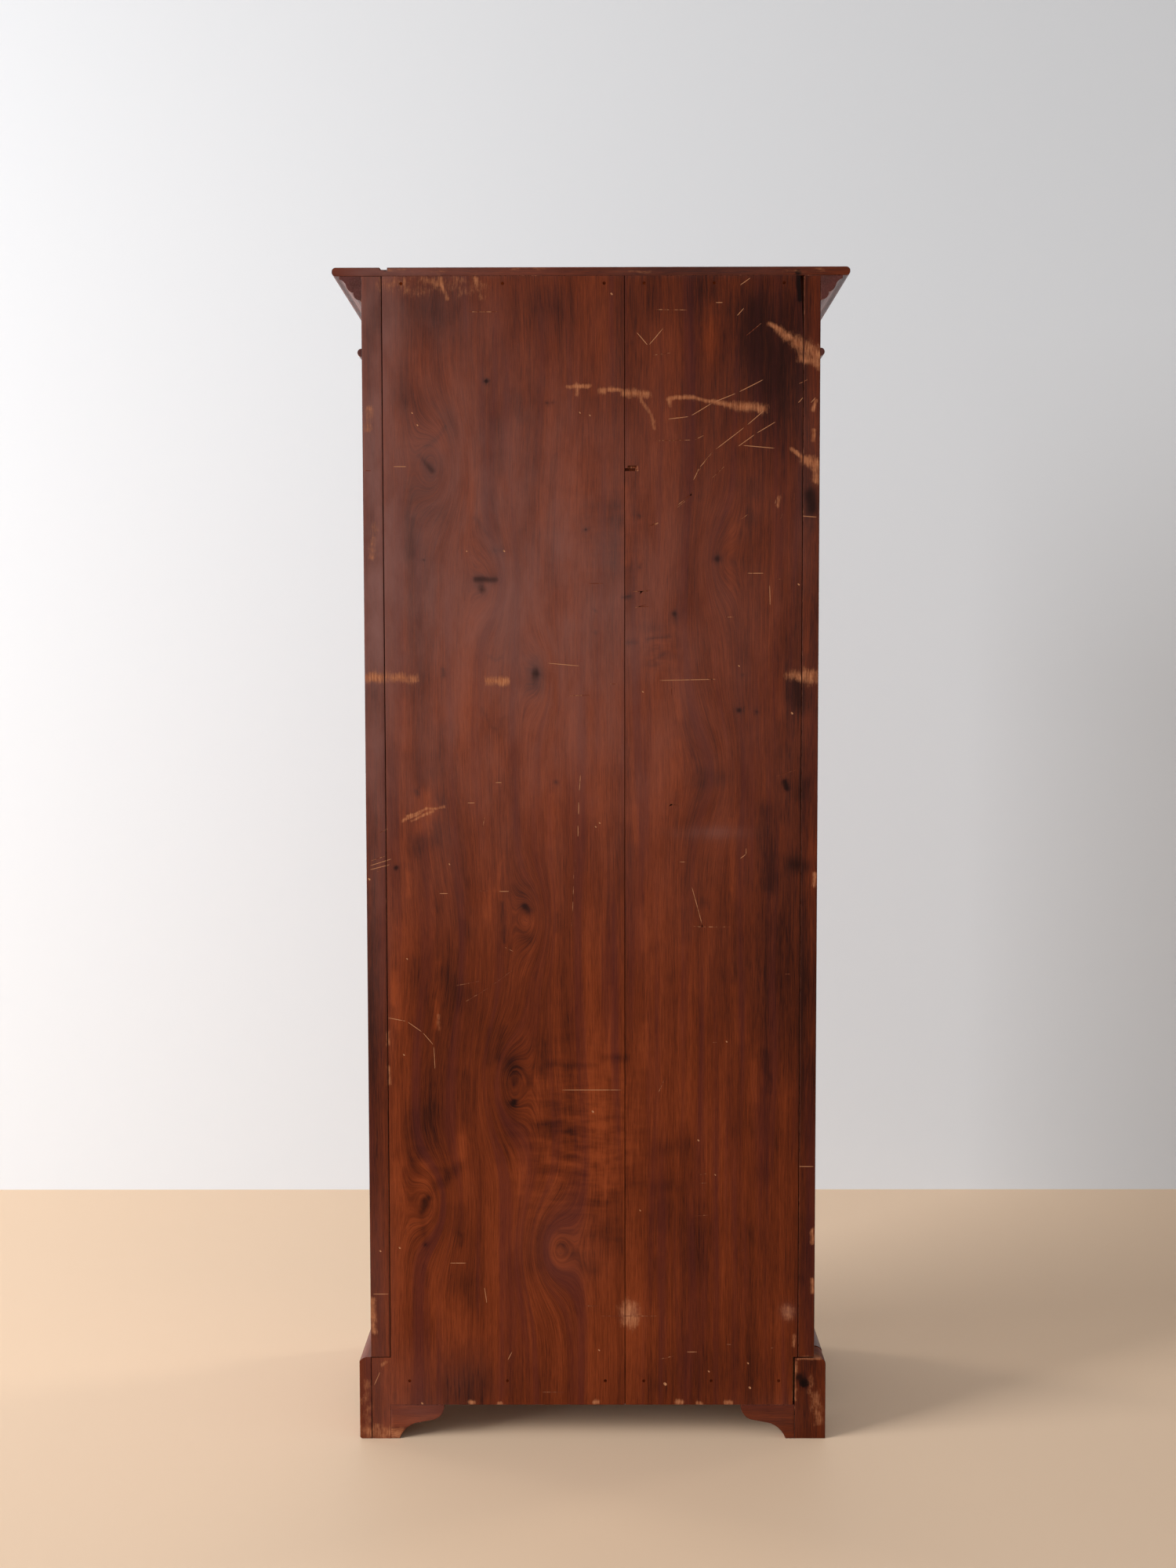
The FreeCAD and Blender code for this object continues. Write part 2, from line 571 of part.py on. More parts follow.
def base_parts(holes):
    """Plinth boards with bracket feet, bearers behind them, the rear post, blocks and rear brackets."""
    across = prism_y(foot_void(-TOE_INNER, TOE_INNER), Y_FRONT - MOULDING_REACH, Y_BACK + PAST)
    corner_foot = HALF_WIDTH + PLINTH_THICKNESS - TOE_INNER
    y_toes = (Y_FRONT - PLINTH_THICKNESS + corner_foot, Y_BACK - corner_foot)
    along = prism_x(foot_void(*y_toes), -HALF_WIDTH - MOULDING_REACH, HALF_WIDTH + MOULDING_REACH)
    y_post = Y_BACK - REAR_POST_DEPTH
    behind_post = box(-HALF_WIDTH - MOULDING_REACH, 0.0, y_post, Y_BACK + PAST, -PAST, OVERALL_HEIGHT)
    plinth_right = one(right_run(*plinth_outline()).cut(along))
    plinth_left = one(mirrored(plinth_right).cut(behind_post))
    post_outer, post_top = -HALF_WIDTH - PLINTH_THICKNESS, PLINTH_HEIGHT - REAR_POST_TOP_GAP
    r = REAR_POST_ROUNDING
    post_corner = on_arc((post_outer + r, post_top - r), r, 135)
    post = prism_y([(post_outer, 0.0), (post_outer, post_top - r), (post_corner, (post_outer + r, post_top)),
                    (-POST_INNER, post_top), (-POST_INNER, 0.0)], y_post, Y_BACK)
    bracket = rear_bracket(across)
    y_rear_bearer = Y_BACK_INNER - BEARER_THICKNESS
    front_bearer = box(-HALF_WIDTH, HALF_WIDTH, Y_FRONT, Y_FRONT + BEARER_THICKNESS, FOOT_HEIGHT, PLINTH_HEIGHT)
    rear_bearer = box(-POST_INNER, POST_INNER, y_rear_bearer, Y_BACK_INNER, FOOT_HEIGHT, PLINTH_HEIGHT)
    y_side_bearer = Y_FRONT + BEARER_THICKNESS
    block_x = HALF_WIDTH - FOOT_BLOCK_SIZE
    blocks = [
        box(-HALF_WIDTH, -block_x, Y_FRONT, Y_FRONT + FOOT_BLOCK_SIZE, 0.0, FOOT_HEIGHT),
        box(block_x, HALF_WIDTH, Y_FRONT, Y_FRONT + FOOT_BLOCK_SIZE, 0.0, FOOT_HEIGHT),
        box(block_x, HALF_WIDTH, Y_BACK_INNER - FOOT_BLOCK_SIZE, Y_BACK_INNER, 0.0, FOOT_HEIGHT),
    ]
    return {
        "plinth_front": one(front_run(*plinth_outline()).cut(across)),
        "plinth_right": plinth_right,
        "plinth_left": plinth_left,
        "rear_post_left": post,
        "rear_bracket_right": bracket,
        "rear_bracket_left": mirrored(bracket),
        "bearer_front": front_bearer,
        "bearer_rear": one(rear_bearer.cut(holes)),
        "bearer_left": box(-HALF_WIDTH, -POST_INNER, y_side_bearer, y_post, FOOT_HEIGHT, PLINTH_HEIGHT),
        "bearer_right": box(POST_INNER, HALF_WIDTH, y_side_bearer, Y_BACK_INNER, FOOT_HEIGHT, PLINTH_HEIGHT),
        "foot_blocks": Part.makeCompound(blocks),
    }


# Shelves

def shelf_heights():
    """The underside of each shelf, so that its edge lies behind a glazing bar."""
    return [SIGHT_BOTTOM + row * ROW_SPACING - BAR_WIDTH / 2 - SHELF_THICKNESS / 2 for row in range(1, PANE_ROWS)]


Y_STRIP_FRONT = Y_FRAME_REAR + STRIP_SETBACK
Y_STRIP_REAR = Y_BACK_INNER - SHELF_CLEARANCE - STRIP_WIDTH
Y_TEETH_FRONT = Y_STRIP_FRONT + STRIP_WIDTH
Y_TEETH_REAR = Y_STRIP_REAR


def toothed_strip(y0, y_teeth, inwards):
    """An upright strip on the left side whose teeth face the other strip; inwards is 1 on a rear strip, else -1."""
    pitch = ROW_SPACING / TEETH_PER_ROW
    first = shelf_heights()[0] - BEARER_BAR_HEIGHT
    z_low, z_high = Z_SILL, Z_HEAD - STRIP_TOP_GAP
    strip = box(-INNER_HALF, -INNER_HALF + STRIP_THICKNESS, y0, y0 + STRIP_WIDTH, z_low, z_high)
    lowest = -int((first - z_low - PAST) // pitch)
    highest = int((z_high - first - TOOTH_SLOPE_HEIGHT) // pitch)
    notches = []
    for step in range(lowest, highest + 1):
        z = first + step * pitch
        outline = [(y_teeth, z), (y_teeth + inwards * TOOTH_DEPTH, z), (y_teeth, z + TOOTH_SLOPE_HEIGHT)]
        notches.append(prism_x(outline, -INNER_HALF, -INNER_HALF + STRIP_THICKNESS))
    return one(strip.cut(notches))


def shelf_bearer(z_shelf):
    """A bar across the left side, with pointed ends that sit in the teeth."""
    z0, z1 = z_shelf - BEARER_BAR_HEIGHT, z_shelf
    gap = BEARER_BAR_CLEARANCE
    low = TOOTH_DEPTH - gap
    high = TOOTH_DEPTH * (1 - BEARER_BAR_HEIGHT / TOOTH_SLOPE_HEIGHT) - gap
    outline = [(Y_TEETH_FRONT - low, z0), (Y_TEETH_REAR + low, z0), (Y_TEETH_REAR + high, z1),
               (Y_TEETH_FRONT - high, z1)]
    return prism_x(outline, -INNER_HALF, -INNER_HALF + STRIP_THICKNESS)


def shelf(z):
    """A shelf with its corners notched round the toothed strips."""
    half = INNER_HALF - SHELF_CLEARANCE
    y0 = Y_FRAME_REAR + SHELF_FRONT_GAP
    y1 = Y_BACK_INNER - SHELF_CLEARANCE
    board = box(-half, half, y0, y1, z, z + SHELF_THICKNESS)
    notch_x = INNER_HALF - STRIP_THICKNESS - SHELF_CLEARANCE
    notches = []
    for ya, yb in ((y0 - PAST, Y_TEETH_FRONT + SHELF_CLEARANCE), (Y_TEETH_REAR - SHELF_CLEARANCE, y1 + PAST)):
        notches.append(box(-half - PAST, -notch_x, ya, yb, z - PAST, z + SHELF_THICKNESS + PAST))
        notches.append(box(notch_x, half + PAST, ya, yb, z - PAST, z + SHELF_THICKNESS + PAST))
    return one(board.cut(notches))


def shelf_parts():
    """Shelves, their bearers and the four toothed strips."""
    front = toothed_strip(Y_STRIP_FRONT, Y_TEETH_FRONT, -1)
    rear = toothed_strip(Y_STRIP_REAR, Y_TEETH_REAR, 1)
    bearers = [shelf_bearer(z) for z in shelf_heights()]
    parts = {
        "shelf_strip_front_left": front,
        "shelf_strip_front_right": mirrored(front),
        "shelf_strip_rear_left": rear,
        "shelf_strip_rear_right": mirrored(rear),
        "shelf_bearers": Part.makeCompound(bearers + [mirrored(b) for b in bearers]),
    }
    for number, z in enumerate(shelf_heights(), 1):
        parts[f"shelf_{number}"] = shelf(z)
    return parts


# Door

def panes():
    """The sight size of each pane: x0, x1, z0, z1."""
    found = []
    for row in range(PANE_ROWS):
        z0 = SIGHT_BOTTOM + row * ROW_SPACING
        for column in range(PANE_COLUMNS):
            x0 = -SIGHT_HALF + column * COLUMN_SPACING
            found.append((x0, x0 + PANE_WIDTH, z0, z0 + PANE_HEIGHT))
    return found


def sticking(lo, hi):
    """The moulded mouth of a pane in plan: it widens from the sight size to the door's face on quarter rounds."""
    r = STICKING_RADIUS
    y_in = Y_FRONT + r
    return [
        (lo, y_in), (on_arc((lo - r, y_in), r, -45), (lo - r, Y_FRONT)), (lo - r, Y_FRONT - PAST),
        (hi + r, Y_FRONT - PAST), (hi + r, Y_FRONT), (on_arc((hi + r, y_in), r, -135), (hi, y_in)),
    ]


def pane_void(x0, x1, z0, z1):
    """What a pane takes out of the door: the moulded mouth, the sight opening and the glazing rebate."""
    r = STICKING_RADIUS + PAST
    plan = prism_z(sticking(x0, x1), z0 - r, z1 + r)
    upright = [(step[0][::-1], step[1][::-1]) if isinstance(step[0], tuple) else step[::-1]
               for step in sticking(z0, z1)]
    section = prism_x(upright, x0 - r, x1 + r)
    through = box(x0, x1, Y_FRONT - PAST, Y_DOOR_REAR + PAST, z0, z1)
    rebate = box(x0 - REBATE_WIDTH, x1 + REBATE_WIDTH, Y_GLASS, Y_DOOR_REAR + PAST,
                 z0 - REBATE_WIDTH, z1 + REBATE_WIDTH)
    return plan.common(section).fuse([through, rebate])


def door_tenon(direction, z0, z1):
    """A door rail's tenon in a door stile."""
    y_middle = (Y_FRONT + Y_DOOR_REAR) / 2
    root, tip = direction * (SIGHT_HALF - PAST), direction * (SIGHT_HALF + DOOR_TENON_LENGTH)
    return box(min(root, tip), max(root, tip), y_middle - DOOR_TENON_THICKNESS / 2,
               y_middle + DOOR_TENON_THICKNESS / 2, z0, z1)


def stub(x0, x1, z0, z1):
    """A glazing bar's stub tenon; the bar's own direction is the longer side."""
    y_middle = (Y_FRONT + Y_DOOR_REAR) / 2
    return box(x0, x1, y_middle - BAR_STUB_THICKNESS / 2, y_middle + BAR_STUB_THICKNESS / 2, z0, z1)


def bar_columns():
    """The middle of each upright glazing bar."""
    return [-SIGHT_HALF + column * COLUMN_SPACING - BAR_WIDTH / 2 for column in range(1, PANE_COLUMNS)]


def bar_rows():
    """The middle height of each cross bar."""
    return [SIGHT_BOTTOM + row * ROW_SPACING - BAR_WIDTH / 2 for row in range(1, PANE_ROWS)]


def bar_stubs():
    """The stub tenons of the upright bars and of the cross bars."""
    half = BAR_STUB_WIDTH / 2
    upright = []
    for x in bar_columns():
        upright.append(stub(x - half, x + half, SIGHT_BOTTOM - BAR_STUB_LENGTH, SIGHT_BOTTOM + PAST))
        upright.append(stub(x - half, x + half, SIGHT_TOP - PAST, SIGHT_TOP + BAR_STUB_LENGTH))
    cross = []
    for z in bar_rows():
        cross.append(stub(-SIGHT_HALF - BAR_STUB_LENGTH, -SIGHT_HALF + PAST, z - half, z + half))
        cross.append(stub(SIGHT_HALF - PAST, SIGHT_HALF + BAR_STUB_LENGTH, z - half, z + half))
    return upright, cross


def crossing(x, z, y0, y1):
    """Half the thickness where two glazing bars cross."""
    half = BAR_WIDTH / 2
    return box(x - half, x + half, y0, y1, z - half, z + half)


def glazing_bars(voids):
    """Upright bars and cross bars, halved over each other."""
    half = BAR_WIDTH / 2
    y_half = (Y_FRONT + Y_DOOR_REAR) / 2
    upright_stubs, cross_stubs = bar_stubs()
    uprights = []
    for x in bar_columns():
        bar = box(x - half, x + half, Y_FRONT, Y_DOOR_REAR, SIGHT_BOTTOM, SIGHT_TOP)
        laps = [crossing(x, z, Y_FRONT, y_half) for z in bar_rows()]
        ends = [s for s in upright_stubs if s.BoundBox.XMin < x < s.BoundBox.XMax]
        uprights.append(one(bar.cut(voids + laps).fuse(ends)))
    crosses = []
    for z in bar_rows():
        bar = box(-SIGHT_HALF, SIGHT_HALF, Y_FRONT, Y_DOOR_REAR, z - half, z + half)
        laps = [crossing(x, z, y_half, Y_DOOR_REAR) for x in bar_columns()]
        ends = [s for s in cross_stubs if s.BoundBox.ZMin < z < s.BoundBox.ZMax]
        crosses.append(one(bar.cut(voids + laps).fuse(ends)))
    return uprights, crosses


def glazing_strips(x0, x1, z0, z1):
    """Four mitred strips that hold one pane in its rebate."""
    y0, y1 = Y_GLASS + GLASS_THICKNESS, Y_DOOR_REAR
    w = GLAZING_STRIP_WIDTH
    a0, a1, c0, c1 = x0 - REBATE_WIDTH, x1 + REBATE_WIDTH, z0 - REBATE_WIDTH, z1 + REBATE_WIDTH
    outlines = [
        [(a0, c0), (a1, c0), (a1 - w, c0 + w), (a0 + w, c0 + w)],
        [(a0, c1), (a1, c1), (a1 - w, c1 - w), (a0 + w, c1 - w)],
        [(a0, c0), (a0 + w, c0 + w), (a0 + w, c1 - w), (a0, c1)],
        [(a1, c0), (a1 - w, c0 + w), (a1 - w, c1 - w), (a1, c1)],
    ]
    return [prism_y(points, y0, y1) for points in outlines]


def glass(x0, x1, z0, z1):
    """A pane, a little smaller than its rebate."""
    spare = REBATE_WIDTH - GLASS_CLEARANCE
    return box(x0 - spare, x1 + spare, Y_GLASS, Y_GLASS + GLASS_THICKNESS, z0 - spare, z1 + spare)


def door_parts():
    """Stiles, rails, bars, glass and glazing strips."""
    voids = [pane_void(*pane) for pane in panes()]
    upright_stubs, cross_stubs = bar_stubs()
    z_top_tenon = (SIGHT_TOP + TENON_SHOULDER + REBATE_WIDTH, DOOR_TOP - TENON_SHOULDER)
    z_low_tenon = (DOOR_BOTTOM + TENON_SHOULDER, SIGHT_BOTTOM - TENON_SHOULDER - REBATE_WIDTH)
    tenons = [door_tenon(d, *span) for d in (-1, 1) for span in (z_top_tenon, z_low_tenon)]
    hinge_stile = box(-DOOR_HALF, -SIGHT_HALF, Y_FRONT, Y_DOOR_REAR, DOOR_BOTTOM, DOOR_TOP)
    lock_stile = box(SIGHT_HALF, DOOR_HALF, Y_FRONT, Y_DOOR_REAR, DOOR_BOTTOM, DOOR_TOP)
    hinge_cuts = [leaf_recess(z, 1) for z in hinge_places()] + hinge_screws(1, SCREW_CLEARANCE)
    lock_cuts = [lock_recess(), keyhole(Y_FRONT - PAST, Y_DOOR_REAR)] + lock_screws(SCREW_CLEARANCE)
    top = box(-SIGHT_HALF, SIGHT_HALF, Y_FRONT, Y_DOOR_REAR, SIGHT_TOP, DOOR_TOP)
    low = box(-SIGHT_HALF, SIGHT_HALF, Y_FRONT, Y_DOOR_REAR, DOOR_BOTTOM, SIGHT_BOTTOM)
    top_tenons = [door_tenon(d, *z_top_tenon) for d in (-1, 1)]
    low_tenons = [door_tenon(d, *z_low_tenon) for d in (-1, 1)]
    uprights, crosses = glazing_bars(voids)
    strips = [strip for pane in panes() for strip in glazing_strips(*pane)]
    return {
        "door_stile_hinge": one(hinge_stile.cut(voids + tenons + cross_stubs + hinge_cuts)),
        "door_stile_lock": one(lock_stile.cut(voids + tenons + cross_stubs + lock_cuts)),
        "door_rail_top": one(top.cut(voids + upright_stubs).fuse(top_tenons)),
        "door_rail_bottom": one(low.cut(voids + upright_stubs).fuse(low_tenons)),
        "glazing_bar_upright": Part.makeCompound(uprights),
        "glazing_bars_cross": Part.makeCompound(crosses),
        "glass_panes": Part.makeCompound([glass(*pane) for pane in panes()]),
        "glazing_strips": Part.makeCompound(strips),
    }


# Hinges: direction is 1 for the door's leaf and -1 for the front frame's leaf

def hinge_places():
    """The middle height of each hinge."""
    low, high = DOOR_BOTTOM + HINGE_END_DISTANCE, DOOR_TOP - HINGE_END_DISTANCE
    return [low + i * (high - low) / (HINGE_COUNT - 1) for i in range(HINGE_COUNT)]


def leaf_plate(z, direction, y0):
    """The flat plate of a leaf, from y0 to its rear edge."""
    near = HINGE_X + direction * HINGE_LEAF_GAP / 2
    far = near + direction * HINGE_LEAF_THICKNESS
    return box(min(near, far), max(near, far), y0, Y_FRONT + HINGE_LEAF_REACH, z - HINGE_LENGTH / 2,
               z + HINGE_LENGTH / 2)


def leaf_recess(z, direction):
    """The shallow housing for a leaf in the edge of a stile."""
    return leaf_plate(z, direction, Y_FRONT - PAST)


def knuckle(z, index, radius, gap):
    """One knuckle of a hinge, or with a negative gap the room round it."""
    length = HINGE_LENGTH / HINGE_KNUCKLES
    z0 = z - HINGE_LENGTH / 2 + index * length + gap / 2
    return rod(radius, Vector(HINGE_X, HINGE_Y, z0), Vector(0, 0, 1), length - gap)


def leaf(z, direction):
    """A hinge leaf with every second knuckle."""
    own = range(0, HINGE_KNUCKLES, 2) if direction < 0 else range(1, HINGE_KNUCKLES, 2)
    other = [i for i in range(HINGE_KNUCKLES) if i not in own]
    plate = leaf_plate(z, direction, HINGE_Y)
    body = plate.fuse([knuckle(z, i, HINGE_KNUCKLE_RADIUS, HINGE_KNUCKLE_GAP) for i in own])
    rooms = [knuckle(z, i, HINGE_KNUCKLE_RADIUS + HINGE_LEAF_GAP, -HINGE_KNUCKLE_GAP) for i in other]
    bore = rod(HINGE_PIN_RADIUS + HINGE_PIN_CLEARANCE, Vector(HINGE_X, HINGE_Y, z - HINGE_LENGTH),
               Vector(0, 0, 1), 2 * HINGE_LENGTH)
    return one(body.cut(rooms + [bore] + screws_at(z, direction, SCREW_CLEARANCE)))


def hinge_pin(z):
    """The pin of a hinge, with a ball finial at each end."""
    half = HINGE_LENGTH / 2 + HINGE_KNUCKLE_GAP
    pin = rod(HINGE_PIN_RADIUS, Vector(HINGE_X, HINGE_Y, z - half), Vector(0, 0, 1), 2 * half)
    reach = math.sqrt(HINGE_FINIAL_RADIUS ** 2 - HINGE_PIN_RADIUS ** 2)
    balls = [Part.makeSphere(HINGE_FINIAL_RADIUS, Vector(HINGE_X, HINGE_Y, z + s * (half + reach))) for s in (-1, 1)]
    return one(pin.fuse(balls))


def screws_at(z, direction, clearance=0.0):
    """The countersunk screws of one leaf, or the holes for them."""
    spread = HINGE_LENGTH / 2 - SCREW_EDGE_DISTANCE
    y = Y_FRONT + HINGE_LEAF_REACH / 2
    face = HINGE_X + direction * HINGE_LEAF_GAP / 2
    along = Vector(direction, 0, 0)
    found = []
    for i in range(HINGE_SCREWS):
        place = Vector(face, y, z - spread + 2 * spread * i / (HINGE_SCREWS - 1))
        head = Part.makeCone(SCREW_HEAD_RADIUS + clearance, SCREW_SHANK_RADIUS + clearance, HINGE_LEAF_THICKNESS,
                             place, along)
        shank = rod(SCREW_SHANK_RADIUS + clearance, place, along, SCREW_LENGTH + clearance)
        found.append(one(head.fuse(shank)))
    return found


def hinge_screws(direction, clearance=0.0):
    """All the screws of the door's leaves, or of the front frame's leaves."""
    return [screw for z in hinge_places() for screw in screws_at(z, direction, clearance)]


def hinge_parts():
    """Leaves, pins and screws."""
    return {
        "hinge_frame_leaves": Part.makeCompound([leaf(z, -1) for z in hinge_places()]),
        "hinge_door_leaves": Part.makeCompound([leaf(z, 1) for z in hinge_places()]),
        "hinge_pins": Part.makeCompound([hinge_pin(z) for z in hinge_places()]),
        "hinge_frame_screws": Part.makeCompound(hinge_screws(-1)),
        "hinge_door_screws": Part.makeCompound(hinge_screws(1)),
    }


# Lock

Y_LOCK_FRONT = Y_DOOR_REAR - LOCK_DEPTH
Y_CAP = Y_DOOR_REAR - LOCK_CAP_THICKNESS
LOCK_X0 = DOOR_HALF - LOCK_WIDTH
LOCK_Z0 = LOCK_Z - LOCK_HEIGHT / 2
LOCK_Z1 = LOCK_Z + LOCK_HEIGHT / 2
BOLT_Z0 = LOCK_Z + KEY_BIT_REACH + KEY_SWEEP_CLEARANCE
BOLT_Y0 = Y_LOCK_FRONT + (LOCK_DEPTH - LOCK_CAP_THICKNESS - BOLT_THICKNESS + LOCK_WALL) / 2


def lock_recess():
    """The pocket for the lock in the rear and the edge of the lock stile."""
    return box(LOCK_X0 - LOCK_FIT, DOOR_HALF + PAST, Y_LOCK_FRONT, Y_DOOR_REAR + PAST,
               LOCK_Z0 - LOCK_FIT, LOCK_Z1 + LOCK_FIT)


def keyhole(y0, y1):
    """The keyhole: a round with a slot below it for the bit."""
    r = KEY_SHANK_RADIUS + KEYHOLE_CLEARANCE
    slot_half = KEY_BIT_WIDTH / 2 + KEYHOLE_CLEARANCE
    hole = rod(r, Vector(KEY_X, y0, LOCK_Z), Vector(0, 1, 0), y1 - y0)
    slot = box(KEY_X - slot_half, KEY_X + slot_half, y0, y1, LOCK_Z - KEY_BIT_REACH - KEYHOLE_CLEARANCE, LOCK_Z)
    return hole.fuse(slot)


def bolt(shift=0.0, spare=0.0):
    """The bolt, or the room for it."""
    x1 = DOOR_HALF + shift
    return box(x1 - BOLT_LENGTH - shift, x1, BOLT_Y0 - spare, BOLT_Y0 + BOLT_THICKNESS + spare, BOLT_Z0 - spare,
               BOLT_Z0 + BOLT_HEIGHT + spare)


def bolt_mortise():
    """The mortise in the right front stile that takes the thrown bolt."""
    return bolt(BOLT_THROW + BOLT_MORTISE_SPARE, BOLT_FIT)


def lock_screws(clearance=0.0):
    """Four screws through the corners of the lock's cap, or the holes for them."""
    xs = (LOCK_X0 + LOCK_SCREW_INSET, DOOR_HALF - LOCK_SCREW_INSET)
    zs = (LOCK_Z0 + LOCK_SCREW_INSET, LOCK_Z1 - LOCK_SCREW_INSET)
    return [rod(LOCK_SCREW_RADIUS + clearance, Vector(x, Y_DOOR_REAR, z), Vector(0, -1, 0),
                LOCK_SCREW_LENGTH + clearance) for x in xs for z in zs]


def lock_case():
    """A tray with corner bosses, open behind, with the keyhole and the bolt's way out."""
    tray = box(LOCK_X0, DOOR_HALF, Y_LOCK_FRONT, Y_CAP, LOCK_Z0, LOCK_Z1)
    inside = box(LOCK_X0 + LOCK_WALL, DOOR_HALF - LOCK_WALL, Y_LOCK_FRONT + LOCK_WALL, Y_CAP + PAST,
                 LOCK_Z0 + LOCK_WALL, LOCK_Z1 - LOCK_WALL)
    boss = 2 * LOCK_SCREW_INSET
    bosses = [box(x, x + boss, Y_LOCK_FRONT, Y_CAP, z, z + boss)
              for x in (LOCK_X0, DOOR_HALF - boss) for z in (LOCK_Z0, LOCK_Z1 - boss)]
    body = tray.cut(inside).fuse(bosses)
    cuts = [bolt(BOLT_MORTISE_SPARE, BOLT_FIT), keyhole(Y_LOCK_FRONT - PAST, Y_LOCK_FRONT + LOCK_WALL + PAST)]
    return one(body.cut(cuts + lock_screws(SCREW_CLEARANCE)))


def lock_cap():
    """The cover plate of the lock, flush with the back of the door, with a bearing for the key's tip."""
    plate = box(LOCK_X0, DOOR_HALF, Y_CAP, Y_DOOR_REAR, LOCK_Z0, LOCK_Z1)
    bearing = rod(KEY_SHANK_RADIUS + KEY_FIT, Vector(KEY_X, Y_CAP - PAST, LOCK_Z), Vector(0, 1, 0),
                  LOCK_CAP_THICKNESS + 2 * PAST)
    return one(plate.cut(lock_screws(SCREW_CLEARANCE) + [bearing]))


def key():
    """A key with a ring bow, a collar, a round shank and a bit that points down."""
    along = Vector(0, 1, 0)
    y_collar = Y_FRONT - ESCUTCHEON_THICKNESS - KEY_EXPOSED_LENGTH
    y_tip = Y_DOOR_REAR
    shank = rod(KEY_SHANK_RADIUS, Vector(KEY_X, y_collar - KEY_BOW_WIRE / 2, LOCK_Z), along,
                y_tip - y_collar + KEY_BOW_WIRE / 2)
    collar = rod(KEY_COLLAR_RADIUS, Vector(KEY_X, y_collar, LOCK_Z), along, KEY_COLLAR_LENGTH)
    bow = Part.makeTorus(KEY_BOW_RADIUS, KEY_BOW_WIRE, Vector(KEY_X, y_collar - KEY_BOW_RADIUS, LOCK_Z),
                         Vector(1, 0, 0))
    y_bit = Y_LOCK_FRONT + LOCK_WALL + KEY_FIT
    bit = box(KEY_X - KEY_BIT_WIDTH / 2, KEY_X + KEY_BIT_WIDTH / 2, y_bit, y_bit + KEY_BIT_LENGTH,
              LOCK_Z - KEY_BIT_REACH, LOCK_Z)
    return one(shank.fuse([collar, bow, bit]))


def escutcheon():
    """An oval plate round the keyhole."""
    half_w, half_h = ESCUTCHEON_WIDTH / 2, ESCUTCHEON_HEIGHT / 2
    z = LOCK_Z - ESCUTCHEON_OFFSET
    y0 = Y_FRONT - ESCUTCHEON_THICKNESS
    oval = Part.Ellipse(Vector(0, 0, 0), half_h, half_w).toShape()
    face = Part.Face(Part.Wire([oval]))
    face.rotate(Vector(0, 0, 0), Vector(1, 0, 0), 90)
    face.rotate(Vector(0, 0, 0), Vector(0, 1, 0), 90)
    face.translate(Vector(KEY_X, y0, z))
    plate = face.extrude(Vector(0, ESCUTCHEON_THICKNESS, 0))
    front_edges = [e for e in plate.Edges if e.BoundBox.YMax < Y_FRONT - ESCUTCHEON_THICKNESS / 2]
    plate = plate.makeFillet(ESCUTCHEON_ROUNDING, front_edges)
    return one(plate.cut(keyhole(y0 - PAST, Y_FRONT + PAST)))


def lock_parts():
    """Lock case, cap, screws, bolt, key and escutcheon."""
    return {
        "lock_case": lock_case(),
        "lock_cap": lock_cap(),
        "lock_screws": Part.makeCompound(lock_screws()),
        "lock_bolt": bolt(-LOCK_FIT),
        "key": key(),
        "escutcheon": escutcheon(),
    }


def main():
    """Builds every piece and writes it to its own file."""
    holes = [nail(x, z, SCREW_CLEARANCE) for x, z in nail_places()]
    parts = {}
    for made in (carcass_parts(), cornice_parts(), front_frame_parts(), base_parts(holes), shelf_parts(),
                 door_parts(), hinge_parts(), lock_parts()):
        parts.update(made)
    os.makedirs("parts", exist_ok=True)
    for name, shape in parts.items():
        shape.exportStep(f"parts/{name}.step")
    print(len(parts), "parts, overall", Part.makeCompound(list(parts.values())).BoundBox)


main()
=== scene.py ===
"""Dresses a tall glazed cabinet of old mahogany, seen from behind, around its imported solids."""

import json
import math

import bpy
import numpy as np
from bpy.props import FloatProperty, FloatVectorProperty, PointerProperty
from mathutils import Matrix, Vector

